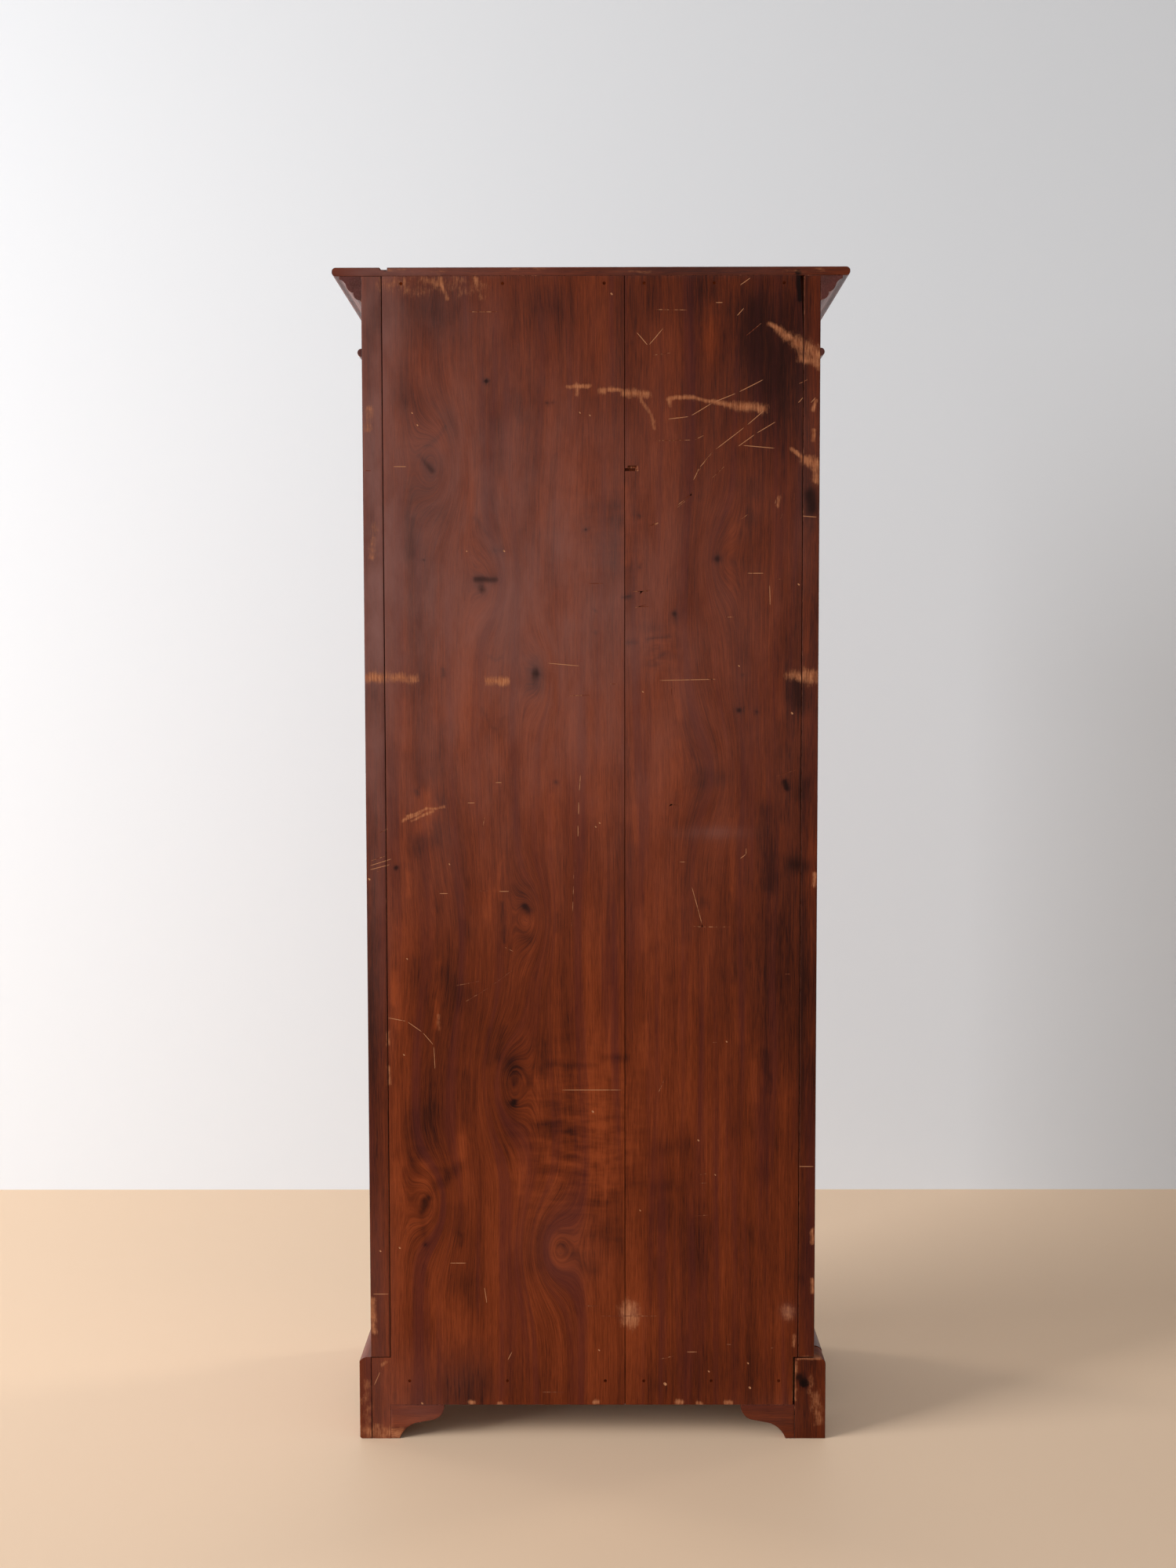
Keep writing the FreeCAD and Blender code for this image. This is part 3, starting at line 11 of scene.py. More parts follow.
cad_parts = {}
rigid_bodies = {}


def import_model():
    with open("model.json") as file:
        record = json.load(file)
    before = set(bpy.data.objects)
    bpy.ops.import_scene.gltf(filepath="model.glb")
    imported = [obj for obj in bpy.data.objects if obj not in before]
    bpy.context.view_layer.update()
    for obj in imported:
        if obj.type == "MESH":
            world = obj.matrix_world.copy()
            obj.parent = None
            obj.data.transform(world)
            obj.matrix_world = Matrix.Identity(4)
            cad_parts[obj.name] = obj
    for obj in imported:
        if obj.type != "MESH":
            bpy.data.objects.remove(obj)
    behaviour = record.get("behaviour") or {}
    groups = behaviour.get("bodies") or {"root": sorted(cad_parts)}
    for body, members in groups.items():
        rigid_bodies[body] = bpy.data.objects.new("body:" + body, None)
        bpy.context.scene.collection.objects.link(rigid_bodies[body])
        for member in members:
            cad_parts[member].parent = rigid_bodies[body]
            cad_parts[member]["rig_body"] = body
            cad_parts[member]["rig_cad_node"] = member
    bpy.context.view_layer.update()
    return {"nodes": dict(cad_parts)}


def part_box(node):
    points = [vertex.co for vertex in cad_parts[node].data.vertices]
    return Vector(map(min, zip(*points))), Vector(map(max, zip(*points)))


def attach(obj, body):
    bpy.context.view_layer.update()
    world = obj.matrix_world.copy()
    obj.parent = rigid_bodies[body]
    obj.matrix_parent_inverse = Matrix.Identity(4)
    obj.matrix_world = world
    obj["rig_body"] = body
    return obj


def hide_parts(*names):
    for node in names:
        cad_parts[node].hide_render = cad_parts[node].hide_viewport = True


bl_info = {
    "name": "Glazed cabinet",
    "version": (1, 0, 0),
    "blender": (4, 5, 0),
    "location": "3D View > Sidebar > Cabinet",
    "description": "Gives the glazed cabinet its eased edges, woods, metals, glass and wear",
    "category": "Object",
}

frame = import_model()

MM = 0.001

# The plane of the back, and how far in front of it a point still belongs to the back
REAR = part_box("back_board_right")[1].y
REAR_SKIN = 1.6 * MM

# A mark of less half width than this, in millimetres, is laid on a finer grid
NARROW = 6.0

# How strongly a narrow mark must touch a square for it to be cut finer
FINE_FROM = 0.17

# How much of their darkness the smears give
SMEAR_SHARE = 0.75

# An edge that turns by more degrees than the first is eased, and by more than the second looks sharp
EASED_FROM = 32.0
SHARP_FROM = 40.0

# The order of the finishes on a piece that the back shows
BACK, EDGE, OUTSIDE, INSIDE = range(4)


def linear(colour):
    """An sRGB hex colour as linear red, green, blue and alpha."""
    parts = [int(colour[i:i + 2], 16) / 255 for i in (1, 3, 5)]
    return tuple(p / 12.92 if p <= 0.04045 else ((p + 0.055) / 1.055) ** 2.4 for p in parts) + (1.0,)


def length(name, description, millimetres):
    """A size that a user may change, kept in metres."""
    return FloatProperty(name=name, description=description, default=millimetres * MM, min=0.0, precision=5,
                         unit="LENGTH", subtype="DISTANCE")


def colour(name, description, hex_colour):
    """A colour that a user may change."""
    return FloatVectorProperty(name=name, description=description, default=linear(hex_colour), size=4,
                               min=0.0, max=1.0, subtype="COLOR")


class CabinetSizes(bpy.types.PropertyGroup):
    """Sizes of the finish: eased edges, grain and wear."""

    ease: length("Eased wooden edge", "Width of the rounding that use has left on the edges", 1.1)
    rear_ease: length("Eased rear edge", "Width of the rounding on the edges of the back", 0.6)
    bolt_ease: length("Eased stile edge", "Smaller rounding, which leaves the bolt room to slide", 0.5)
    mark_cell: length("Mark cell", "Size of the squares on which the marks of the back are laid", 5.3)
    band: length("Band", "Width of the broadest bands in the mahogany", 60.0)
    stripe: length("Stripe", "Width of the stripes in the mahogany", 11.0)
    streak: length("Streak", "Width of the fine streaks in the mahogany", 2.4)
    fibre: length("Fibre", "Width of the finest lines, drawn coarser than life so that they show", 0.8)
    pine_ring: length("Pine ring", "Distance between two late wood lines in the pine", 6.0)
    scratch_depth: length("Scratch depth", "Depth of a scratch in the back", 0.35)


class CabinetColours(bpy.types.PropertyGroup):
    """Colours of the finish and of the stage."""

    dark: colour("Mahogany dark", "The darkest stripes under the old polish", "#31120a")
    middle: colour("Mahogany middle", "The usual red brown of the polished wood", "#60270f")
    warm: colour("Mahogany warm", "Stripes where the polish glows orange", "#823a1a")
    knot: colour("Mahogany knot", "The black heart of a knot", "#120604")
    plum: colour("Mahogany plum", "Stripes that look plum beside the orange ones", "#4b1e19")
    # This grey is both the dust of perished polish and a painted sheen, the window light mirrored on the
    # back; end grain takes it as dust in its pores
    haze: colour("Polish haze", "The grey bloom of dust and perished polish", "#77524b")
    rubbed: colour("Rubbed mahogany", "Wood whose polish is nearly gone", "#864829")
    bare: colour("Bare mahogany", "Wood that has lost its polish", "#b3754f")
    scratch: colour("Scratch", "The raw wood in a fresh scratch", "#a9744f")
    pine: colour("Pine", "Unpolished pine, browned by age", "#a9794a")
    pine_dark: colour("Pine late wood", "The harder lines in the pine", "#7d4e2b")
    brass: colour("Brass", "Dull brass of hinges and lock", "#a98348")
    brass_tarnish: colour("Brass tarnish", "Brown film on brass that nobody rubs", "#5a4220")
    iron: colour("Iron", "Dark iron of the key", "#3b3633")
    iron_tarnish: colour("Iron tarnish", "Brown film on iron that nobody rubs", "#2a1c15")
    glass: colour("Glass", "The faint tint of old window glass", "#eef5ef")
    wall: colour("Wall", "The backdrop", "#d2d4d5")
    floor: colour("Floor", "The floor", "#dec1a2")
    sky: colour("Sky", "The soft light from all sides", "#f2f4f8")


# Where the back is marked, in millimetres: across from the middle, to the right as seen from the front,
# and up from the floor

# Scratches in the upper third
UPPER_SCRATCHES = (
    ((-114, 1574), (-149, 1578), (-184, 1599), (-220, 1613), (-262, 1634)),
    ((-154, 1482), (-163, 1501), (-184, 1526), (-234, 1564), (-262, 1588)),
    ((-220, 1532), (-248, 1552), (-280, 1571)), ((-225, 1535), (-281, 1530)),
    ((-68, 1704), (-86, 1683), (-110, 1711)), ((-223, 1772), (-240, 1784)), ((-219, 1727), (-230, 1739)),
    ((-187, 1747), (-198, 1747)), ((300, 1504), (278, 1504)), ((-312, 1598), (-319, 1606)),
    ((-331, 1598), (-338, 1606)), ((-317, 1429), (-342, 1427)),
)
UPPER_FAINT_SCRATCHES = (
    ((-94, 1542), (-156, 1543), (-174, 1552)), ((-178, 1482), (-206, 1508)), ((-92, 1669), (-122, 1673)),
    ((-92, 1737), (-149, 1736)), ((-231, 1696), (-258, 1718)), ((189, 1734), (133, 1734)),
    ((343, 1498), (332, 1498)), ((-312, 1626), (-327, 1633)), ((-129, 1444), (-156, 1466)),
    ((-86, 1413), (-103, 1419)),
)

# Scratches in the middle third
MIDDLE_SCRATCHES = (
    ((-270, 1327), (-271, 1292)), ((-235, 1343), (-263, 1343)), ((70, 1208), (14, 1203)),
    ((-96, 1181), (-193, 1183)), ((342, 898), (304, 910)), ((342, 892), (307, 901)),
    ((147, 1026), (137, 1026)), ((190, 995), (178, 995)), ((17, 1039), (19, 1012)),
    ((20, 997), (20, 976)), ((21, 961), (21, 942)), ((-227, 909), (-236, 916), (-236, 925)),
    ((-152, 870), (-170, 804)), ((234, 856), (220, 856)), ((143, 859), (126, 859)),
)
MIDDLE_FAINT_SCRATCHES = (
    ((-278, 1334), (-292, 1334)), ((-201, 1277), (-217, 1277)), ((-60, 1316), (-89, 1316)),
    ((-68, 1293), (-89, 1293)), ((6, 1328), (-20, 1328)), ((39, 1158), (-2, 1159)),
    ((-26, 1176), (-40, 1176)), ((-122, 1172), (-122, 1158)), ((327, 948), (311, 956)),
    ((339, 906), (315, 914)), ((173, 860), (158, 860)), ((25, 910), (25, 888)), ((31, 826), (31, 804)),
    ((-279, 1034), (-315, 1046)), ((-118, 992), (-137, 992)), ((-132, 904), (-148, 904)),
    ((-155, 804), (-219, 804)),
)

# Scratches in the lower third
LOWER_SCRATCHES = (
    ((56, 551), (-54, 551)), ((223, 279), (194, 279)), ((168, 242), (164, 214)), ((132, 125), (125, 139)),
    ((343, 230), (315, 230)), ((-146, 138), (-164, 138)), ((-317, 431), (-344, 431)),
    ((331, 107), (341, 84)), ((316, 664), (285, 658), (261, 641), (244, 621), (242, 581)),
)
LOWER_FAINT_SCRATCHES = (
    ((197, 687), (156, 712), (120, 739)), ((-101, 544), (-113, 571)), ((82, 74), (40, 74)),
    ((14, 211), (-10, 211)), ((-5, 195), (-109, 195)), ((-102, 126), (-128, 132)),
    ((-208, 150), (-218, 150)), ((-276, 144), (-283, 145)), ((-297, 731), (-305, 731)),
)

# More fine scratches, all over the back
FINE_SCRATCHES = (
    ((-159, 1488), (-166, 1503), (-184, 1526)), ((-129, 1441), (-145, 1454), (-154, 1466)),
    ((-87, 1415), (-103, 1420)), ((-226, 1424), (-239, 1433)), ((-279, 1455), (-278, 1447)),
    ((-289, 1433), (-286, 1424)), ((-307, 1464), (-306, 1452)), ((-67, 1315), (-91, 1318)),
    ((-64, 1291), (-88, 1297)), ((-178, 1183), (-191, 1183)), ((168, 952), (163, 975)),
    ((134, 773), (120, 766)), ((212, 713), (169, 721)), ((330, 889), (320, 895)), ((27, 904), (30, 806)),
    ((-286, 1059), (-291, 1058)), ((-118, 993), (-138, 989)), ((-155, 805), (-172, 804)),
    ((-185, 625), (-192, 625)), ((-166, 418), (-177, 420)), ((-156, 353), (-184, 355)),
    ((-164, 405), (-177, 405)), ((-230, 296), (-236, 302)),
)

# Small dents that show raw wood: place and width
DENTS = (
    (-31, 1760, 3), (-113, 87, 4.6), (-245, 81, 3.4), (-242, 120, 2.4), (-181, 107, 2.4), (-10, 141, 2.2),
    (341, 878, 3), (-305, 1131, 3), (266, 56, 3), (290, 606, 2.2), (299, 303, 2.5), (329, 298, 2.5),
    (-1, 517, 3), (-164, 472, 2.5), (-207, 626, 2), (-74, 362, 2), (-190, 418, 2), (-314, 1326, 2.5),
    (-224, 1203, 2), (-78, 1164, 2), (262, 1566, 2.2), (270, 1584, 2), (132, 1377, 2.5), (17, 1584, 2),
    (2, 1580, 2), (189, 1377, 1.8), (284, 755, 2), (-6, 958, 2), (-12, 964, 2), (218, 901, 2),
)

# Splinters torn out of the top edge and beside the seam: place, width, height and depth
CHIPS = (((312, 1799.5), 11, 5, 24), ((-63, 1500), 17, 5, 3))

# Strokes of bare wood: half width, strength, and the points that the stroke runs through
BARE_STROKES = (
    (17, 0.4, ((312, 1774), (164, 1770))), (9, 0.45, ((312, 1779), (281, 1776))),
    (8, 0.5, ((250, 1782), (228, 1778))), (4, 0.7, ((226, 1784), (216, 1754))),
    (6, 0.45, ((205, 1784), (180, 1776))), (4, 0.65, ((172, 1782), (167, 1754))),
    (3, 0.85, ((36, 1624), (2, 1624))), (4, 0.6, ((22, 1626), (21, 1612))),
    (5, 0.85, ((-14, 1616), (-18, 1616))), (3.5, 0.8, ((-27, 1617), (-47, 1617))),
    (6, 0.9, ((-51, 1613), (-83, 1612))), (3, 0.7, ((-74, 1606), (-86, 1590), (-92, 1582), (-96, 1561))),
    (3.2, 0.85, ((-117, 1604), (-150, 1606), (-184, 1601))), (3, 0.7, ((-117, 1604), (-121, 1592))),
    (3.8, 0.8, ((-184, 1601), (-216, 1594), (-260, 1592))), (7, 0.85, ((-218, 1593), (-262, 1589))),
    (4, 0.8, ((-268, 1715), (-284, 1709), (-304, 1694))),
    (7, 0.75, ((-284, 1707), (-304, 1692), (-312, 1686))),
    (11, 0.8, ((-310, 1688), (-326, 1676), (-341, 1668))), (8, 0.75, ((-318, 1664), (-341, 1655))),
    (3, 0.8, ((-300, 1530), (-316, 1518))), (8, 0.9, ((-322, 1512), (-338, 1506))),
    (6, 0.75, ((-338, 1506), (-341, 1480))), (8, 0.7, ((342, 1187), (271, 1184))),
    (8, 0.85, ((342, 1188), (322, 1186))), (6, 0.9, ((157, 1182), (130, 1181))),
    (8, 0.7, ((-300, 1190), (-343, 1188))), (11, 0.8, ((-322, 1187), (-343, 1186))),
    (2, 0.8, ((288, 967), (262, 980))), (2, 0.8, ((282, 973), (254, 987), (227, 989))),
    (2, 0.8, ((276, 967), (244, 984))), (7, 0.52, ((333, 1592), (335, 1562))),
    (7, 0.48, ((329, 1416), (331, 1372))), (5, 0.8, ((343, 222), (339, 172))),
    (4, 0.8, ((-340, 884), (-340, 868))), (4, 0.75, ((-341, 330), (-341, 310))),
    (4, 0.75, ((-341, 252), (-341, 232))), (13, 0.95, ((-57, 206), (-60, 190))),
    (11, 0.65, ((-304, 205), (-304, 199))), (6, 0.5, ((-341, 94), (-343, 40))),
    (9, 0.6, ((-350, 70), (-352, 28))), (11, 0.75, ((352, 12), (304, 8))),
    (8, 0.5, ((350, 90), (352, 30))), (3.5, 0.9, ((191, 57), (186, 57))),
    (3, 0.9, ((146, 57), (143, 57))), (3.5, 0.9, ((-3, 57), (-8, 57))),
    (4, 0.9, ((-133, 57), (-139, 57))), (3.5, 0.9, ((-164, 57), (-169, 57))),
    (4, 0.9, ((-208, 57), (-215, 57))), (3, 0.7, ((-316, 122), (-316, 62))),
    (2.5, 0.75, ((-318, 127), (-355, 127))), (3, 0.8, ((-336, 1556), (-335, 1540))),
    (3, 0.8, ((-338, 1600), (-336, 1586))), (3, 0.8, ((-285, 1458), (-282, 1446))),
    (3, 0.7, ((313, 640), (313, 622))), (3, 0.7, ((314, 586), (313, 560))),
    (3, 0.5, ((238, 668), (236, 642))), (3, 0.7, ((-312, 148), (-314, 164))),
    (3, 0.7, ((329, 118), (322, 122))), (4, 0.4, ((300, 1795), (215, 1794))),
    (3, 0.4, ((120, 1797), (60, 1797))), (3, 0.4, ((-60, 1794), (-90, 1794))),
    (4, 0.4, ((-290, 1795), (-350, 1794))),
)

# Dark and light ovals: place, half width, half height and darkness; below nought the wood is lighter. Small
# ones are knots and stains in the wood; many broad ones are painted shade and painted light, which darken
# the back towards negative x, away from the window, and lighten other patches
STAINS_AND_SHADE = (
    (165, 1328, 34, 34, 0.2), (242, 1504, 16, 24, 0.35), (158, 1631, 4, 4, 0.7), (-330, 88, 6, 5, 1.7),
    (-322, 98, 8, 6, 0.6), (-275, 1650, 55, 120, 0.45), (-240, 1700, 26, 70, 0.3),
    (265, 1380, 17, 75, 0.28), (0, 1490, 13, 170, 0.22), (60, 1740, 34, 40, 0.35),
    (250, 1740, 70, 50, 0.42), (85, 1510, 10, 140, 0.3), (250, 500, 14, 70, 0.4),
    (175, 215, 26, 110, 0.28), (-190, 110, 140, 50, 0.2), (-40, 960, 12, 240, 0.16),
    (-290, 900, 24, 380, 0.22), (305, 1250, 10, 220, 0.2), (300, 640, 8, 320, 0.2),
    (-120, 720, 14, 170, 0.18), (128, 1430, 13, 120, -0.35), (45, 1400, 20, 130, -0.25),
    (-180, 1695, 11, 42, -0.6), (-222, 1550, 14, 18, -0.3), (-70, 1360, 10, 90, -0.25),
    (0, 500, 70, 110, -0.22), (105, 440, 14, 70, -0.4), (-200, 500, 80, 150, -0.14),
    (150, 900, 12, 170, -0.2), (-240, 600, 12, 200, -0.2), (290, 1050, 14, 120, -0.2),
    (200, 420, 16, 60, -0.25), (110, 190, 30, 60, -0.18), (-150, 1794, 300, 9, 0.2),
    (150, 300, 110, 140, -0.22), (-70, 200, 60, 70, -0.35), (-230, 1430, 130, 330, 0.12),
    (325, 1730, 40, 110, 0.35), (337, 620, 12, 260, 0.35), (-330, 900, 45, 900, 0.35),
    (40, 1130, 140, 120, -0.3), (0, 1480, 46, 70, -0.3), (60, 1290, 110, 60, -0.15),
    (270, 110, 30, 40, -0.3), (0, 1000, 120, 50, -0.2), (330, 60, 14, 60, 0.35),
    (-320, 640, 40, 260, 0.22), (-230, 700, 60, 140, 0.25), (-160, 1760, 130, 60, 0.38),
    (200, 190, 60, 60, -0.3), (-30, 130, 60, 50, -0.2), (333, 1290, 18, 330, 0.35),
    (185, 1150, 60, 110, -0.25), (-50, 1130, 60, 100, -0.2), (200, 80, 50, 40, 0.35),
    (-190, 1620, 150, 90, 0.15), (-335, 1450, 20, 60, 0.2), (337, 1560, 12, 90, 0.25),
    (339, 250, 11, 110, 0.3), (-338, 900, 12, 60, -0.35), (-336, 260, 18, 110, 0.28),
)

# Smears in the wood, round knots and along the grain: half width, darkness, and the points that the smear
# runs through; below nought the wood is lighter
SMEARS = (
    (11, -1, ((255, 1005), (256, 961))), (5, 0.9, ((175, 1334), (143, 1335))), (7, 1, ((167, 1318),)),
    (4, 0.7, ((147, 1379), (136, 1378))), (6, 0.6, ((87, 1212), (86, 1192))),
    (11, 1.05, ((86, 1188), (86, 1174))), (8, 0.45, ((274, 1425), (275, 1369))),
    (14, 0.3, ((252, 1444), (233, 1438))), (9, 0.4, ((140, 1570), (140, 1504))),
    (10, 0.25, ((153, 1463), (134, 1438))), (4, 0.35, ((56, 1519), (55, 1324))),
    (4, 0.5, ((259, 1520), (240, 1498))), (3, 0.5, ((250, 1535), (232, 1548), (219, 1564))),
    (9, 0.4, ((-34, 1444), (-34, 1355))), (8, 0.35, ((115, 1607), (105, 1576))),
    (20, 0.3, ((289, 1614), (263, 1595))), (9, 0.35, ((213, 1582), (207, 1554))), (2, 0.9, ((67, 1598),)),
    (2, 0.9, ((58, 1599),)), (2.5, 1.1, ((9, 1410),)), (2, 0.9, ((-6, 1286),)), (2.5, 0.8, ((-8, 1253),)),
    (2, 0.8, ((252, 1365),)), (2.5, 0.8, ((227, 1199), (226, 1189))), (2.5, 0.7, ((159, 1632),)),
    (2, 0.5, ((155, 1219), (147, 1212), (137, 1218))), (3, 0.4, ((176, 1425), (157, 1400))),
    (12, 0.5, ((258, 387), (274, 369))), (6, 0.8, ((253, 382), (261, 364))),
    # The smear from (-312, 1792) down to (-313, 1752) is painted shade: the dark of the narrow gap at the
    # top corner of the board
    (2.4, 1.7, ((-312, 1792), (-313, 1752))), (7, 0.4, ((281, 395), (284, 425), (270, 448))),
    (7, 0.5, ((237, 400), (222, 417), (204, 432))), (4, 0.35, ((266, 356), (258, 309))),
    (3, 0.8, ((258, 308),)), (12, 0.75, ((124, 594), (121, 566))), (5, 1.1, ((120, 532),)),
    (5, 0.4, ((138, 648), (145, 602))), (4, 0.3, ((158, 645), (159, 592))),
    (6, 0.4, ((74, 618), (74, 573))), (14, 0.3, ((126, 524), (119, 487), (93, 474))),
    (4, 0.4, ((64, 591), (-7, 588))), (5, 0.4, ((-17, 600), (-54, 600))),
    (8, 0.4, ((58, 527), (22, 526))), (5, 0.6, ((80, 494), (56, 496))), (4, 0.5, ((74, 479), (64, 479))),
    (3, 0.4, ((48, 418), (9, 420))), (8, 0.35, ((29, 370), (-33, 382))),
    (16, 0.35, ((41, 500), (22, 481))), (9, 0.5, ((40, 307), (24, 286), (3, 269))),
    (16, 0.3, ((87, 329), (91, 276))), (3, 0.4, ((52, 329), (32, 331))),
    (13, 0.5, ((272, 514), (274, 468))), (10, 0.35, ((208, 362), (210, 332))),
    (8, 0.3, ((200, 573), (197, 507))), (3, 0.4, ((259, 273), (259, 243))),
    (2.5, 0.5, ((203, 322), (203, 306))), (12, 0.3, ((-20, 362), (-26, 316))),
    (20, 0.3, ((199, 243), (192, 216))), (2.5, 0.9, ((268, 1013), (266, 1008))),
    (9, 0.5, ((240, 961), (240, 939))), (9, 0.35, ((267, 936), (267, 920))),
    (7, 0.4, ((238, 1005), (229, 997))), (3, 1.1, ((53, 1026),)), (3.5, 1, ((300, 895),)),
    (2, 0.6, ((136, 841), (136, 781))), (5, 0.7, ((102, 835), (96, 828))),
    (8, 0.5, ((104, 790), (98, 787))), (9, 0.35, ((113, 866), (101, 838))),
    (6, 0.35, ((195, 809), (192, 790))), (3, 0.4, ((52, 822), (54, 797))),
    (14, 0.35, ((224, 730), (193, 692))), (9, 0.3, ((295, 885), (296, 822))),
    (12, 0.3, ((271, 749), (268, 702))), (9, 0.3, ((300, 1074), (298, 948))),
    (9, 0.3, ((225, 1105), (238, 1042))), (2, 0.3, ((165, 1136), (153, 1111), (144, 1108), (133, 1127))),
    (5, 0.9, ((-192, 1366),)), (4, 0.9, ((-126, 1281),)), (6, 0.4, ((-126, 1271),)),
    (2.5, 0.9, ((-72, 1431),)), (2, 0.9, ((-74, 1353),)), (2, 0.9, ((-47, 1307), (-59, 1309))),
    (3, 0.8, ((-56, 1239), (-67, 1239))), (1.8, 0.7, ((-84, 1245), (-118, 1247))),
    (7, 0.4, ((-84, 1264), (-104, 1261))), (2.5, 0.5, ((-92, 1229), (-101, 1230))),
    (2, 0.4, ((-90, 1211), (-109, 1222))), (2, 0.4, ((-91, 1204), (-101, 1205))),
    (4, 1.1, ((-225, 1135),)), (3, 0.7, ((-252, 1132),)), (3, 0.5, ((-229, 1189),)),
    (7, 0.6, ((-332, 1461), (-334, 1439))), (14, 0.5, ((-312, 1174), (-317, 1149))),
    (9, 0.4, ((-243, 1475), (-246, 1464))), (6, 0.4, ((-238, 1433), (-240, 1417))),
    (10, 0.45, ((-177, 1039), (-197, 1034))), (7, 0.3, ((-163, 1024), (-172, 1022))),
    (9, 0.4, ((-265, 985), (-271, 866))), (3, 0.8, ((-296, 1028), (-297, 1017))),
    (6, 0.4, ((-172, 843),)), (7, 0.3, ((-94, 772),)), (9, 0.3, ((-318, 1007), (-324, 1024))),
    (9, 0.4, ((-310, 902), (-330, 897))), (5, 0.4, ((-269, 609), (-272, 548))),
    (16, 0.3, ((-212, 566), (-224, 496))), (9, 0.3, ((-98, 459), (-144, 462))),
    (9, 0.35, ((-99, 398), (-124, 401))), (10, 0.35, ((-113, 369), (-113, 340))),
    (18, 0.3, ((-162, 328), (-165, 281))), (18, 0.25, ((-236, 322),)), (14, 0.25, ((-267, 421),)),
    (12, 0.3, ((-64, 421), (-64, 407))), (5, 0.4, ((-36, 598), (-39, 601))),
    (6, -0.3, ((229, 1560), (226, 1532))), (4, -0.35, ((288, 1356), (282, 1229))),
    (8, -0.3, ((77, 1463), (80, 1412))), (9, -0.3, ((8, 1393), (6, 1336))),
    (6, -0.25, ((175, 1494), (179, 1438))), (15, -0.35, ((136, 425), (127, 309))),
    (4, -0.5, ((-28, 710), (-27, 573))), (2.5, -0.5, ((-23, 428), (-22, 382))),
    (7, -0.5, ((204, 474), (210, 445))), (4, -0.5, ((302, 710), (301, 648))),
    (4, -0.5, ((240, 690), (240, 651))), (3, -0.3, ((107, 428), (113, 388))),
    (6, -0.4, ((68, 448), (64, 402))), (12, -0.2, ((87, 546), (74, 461))),
    (8, -0.4, ((256, 438), (256, 395))), (8, -0.35, ((302, 432), (302, 375))),
    (5, -0.3, ((234, 395), (247, 379))), (12, -0.25, ((254, 283), (244, 216))),
    (7, -0.35, ((281, 1149), (281, 1080))), (5, -0.4, ((283, 885), (282, 854))),
    (6, -0.6, ((303, 730), (303, 689))), (2.5, -0.4, ((248, 948), (244, 790))),
    (8, -0.3, ((141, 1086), (141, 1045))), (5, -0.35, ((154, 860), (159, 822))),
    (4, -0.35, ((63, 1005), (64, 929))), (7, -0.3, ((28, 1126), (24, 1036))),
    (5, -0.35, ((237, 749), (237, 702))), (2, -0.35, ((145, 863), (142, 898), (135, 914))),
    (8, -0.3, ((98, 806),)), (7, -0.5, ((-59, 1412), (-57, 1362))), (4, -0.4, ((-54, 1475), (-56, 1428))),
    (5, -0.3, ((-212, 1461), (-210, 1322))), (6, -0.35, ((-139, 1267), (-135, 1126))),
    (5, -0.25, ((-328, 1294), (-325, 1224))), (5, -0.3, ((-286, 1182), (-285, 1126))),
    (6, -0.4, ((-64, 985), (-67, 940))), (9, -0.3, ((-144, 766), (-150, 717))),
    (5, -0.3, ((-76, 832), (-78, 774))), (8, -0.25, ((-293, 956), (-295, 928))),
    (5, -0.3, ((-133, 1087), (-129, 1019))), (2.5, -0.3, ((-214, 968), (-214, 860))),
    (10, -0.3, ((-144, 704), (-150, 566))), (5, -0.35, ((-218, 710), (-224, 629))),
    (5, -0.3, ((-83, 652), (-83, 589))), (6, -0.35, ((-249, 589), (-251, 537))),
    (9, -0.3, ((-144, 549), (-144, 508))), (9, -0.25, ((-295, 543), (-295, 496))),
    (5, -0.3, ((-99, 325), (-102, 293))),
)

# Ovals where dust and perished polish lie grey, together with a painted sheen that stands in for the window
# light mirrored in the polish, strongest at positive x, towards the window: place, half width, half height
# and strength
BLOOM_AND_SHEEN = (
    (215, 1420, 200, 310, 0.8), (272, 1290, 40, 70, 0.35), (20, 1300, 120, 240, 0.35),
    (240, 1000, 110, 180, 0.2), (-180, 949, 52, 10, 0.38), (330, 1420, 36, 330, 0.85),
    (330, 1080, 22, 220, 0.45), (330, 1720, 44, 90, 0.4), (330, 760, 20, 160, 0.3),
    (260, 1794, 140, 8, 0.5), (-170, 1794, 230, 8, 0.3), (-150, 1250, 220, 400, 0.3),
    (100, 1150, 260, 260, 0.2), (335, 220, 24, 220, 0.3), (-330, 1450, 20, 160, 0.2),
    (-58, 199, 11, 13, 1.2), (-304, 202, 9, 10, 0.9), (270, 30, 60, 34, 0.35), (275, 1740, 100, 60, 0.3),
    (45, 310, 60, 70, 0.15), (250, 90, 90, 55, 0.2), (-270, 34, 60, 30, 0.2),
)

# Ovals that push the grain aside, into eyes round the knots: place, half width, half height and push
CURLS = (
    (151, 1328, 30, 70, 36), (228, 1504, 36, 80, 56), (77, 1186, 24, 60, 30), (136, 560, 38, 90, -54),
    (245, 374, 36, 72, 50), (68, 300, 42, 78, -58), (91, 818, 26, 62, 40), (-192, 1366, 30, 75, -32),
    (30, 470, 60, 110, 6), (-183, 1039, 42, 90, 28), (220, 780, 60, 160, 26), (-150, 1250, 52, 130, -10),
    (60, 1640, 50, 160, 12),
)

# Ovals with a curl across the grain: place, half width, half height and strength
RIPPLES = (
    (20, 460, 80, 125, 1.0), (-102, 1226, 26, 28, 0.9), (-20, 1400, 60, 90, 0.35),
    (260, 420, 40, 60, 0.4),
)


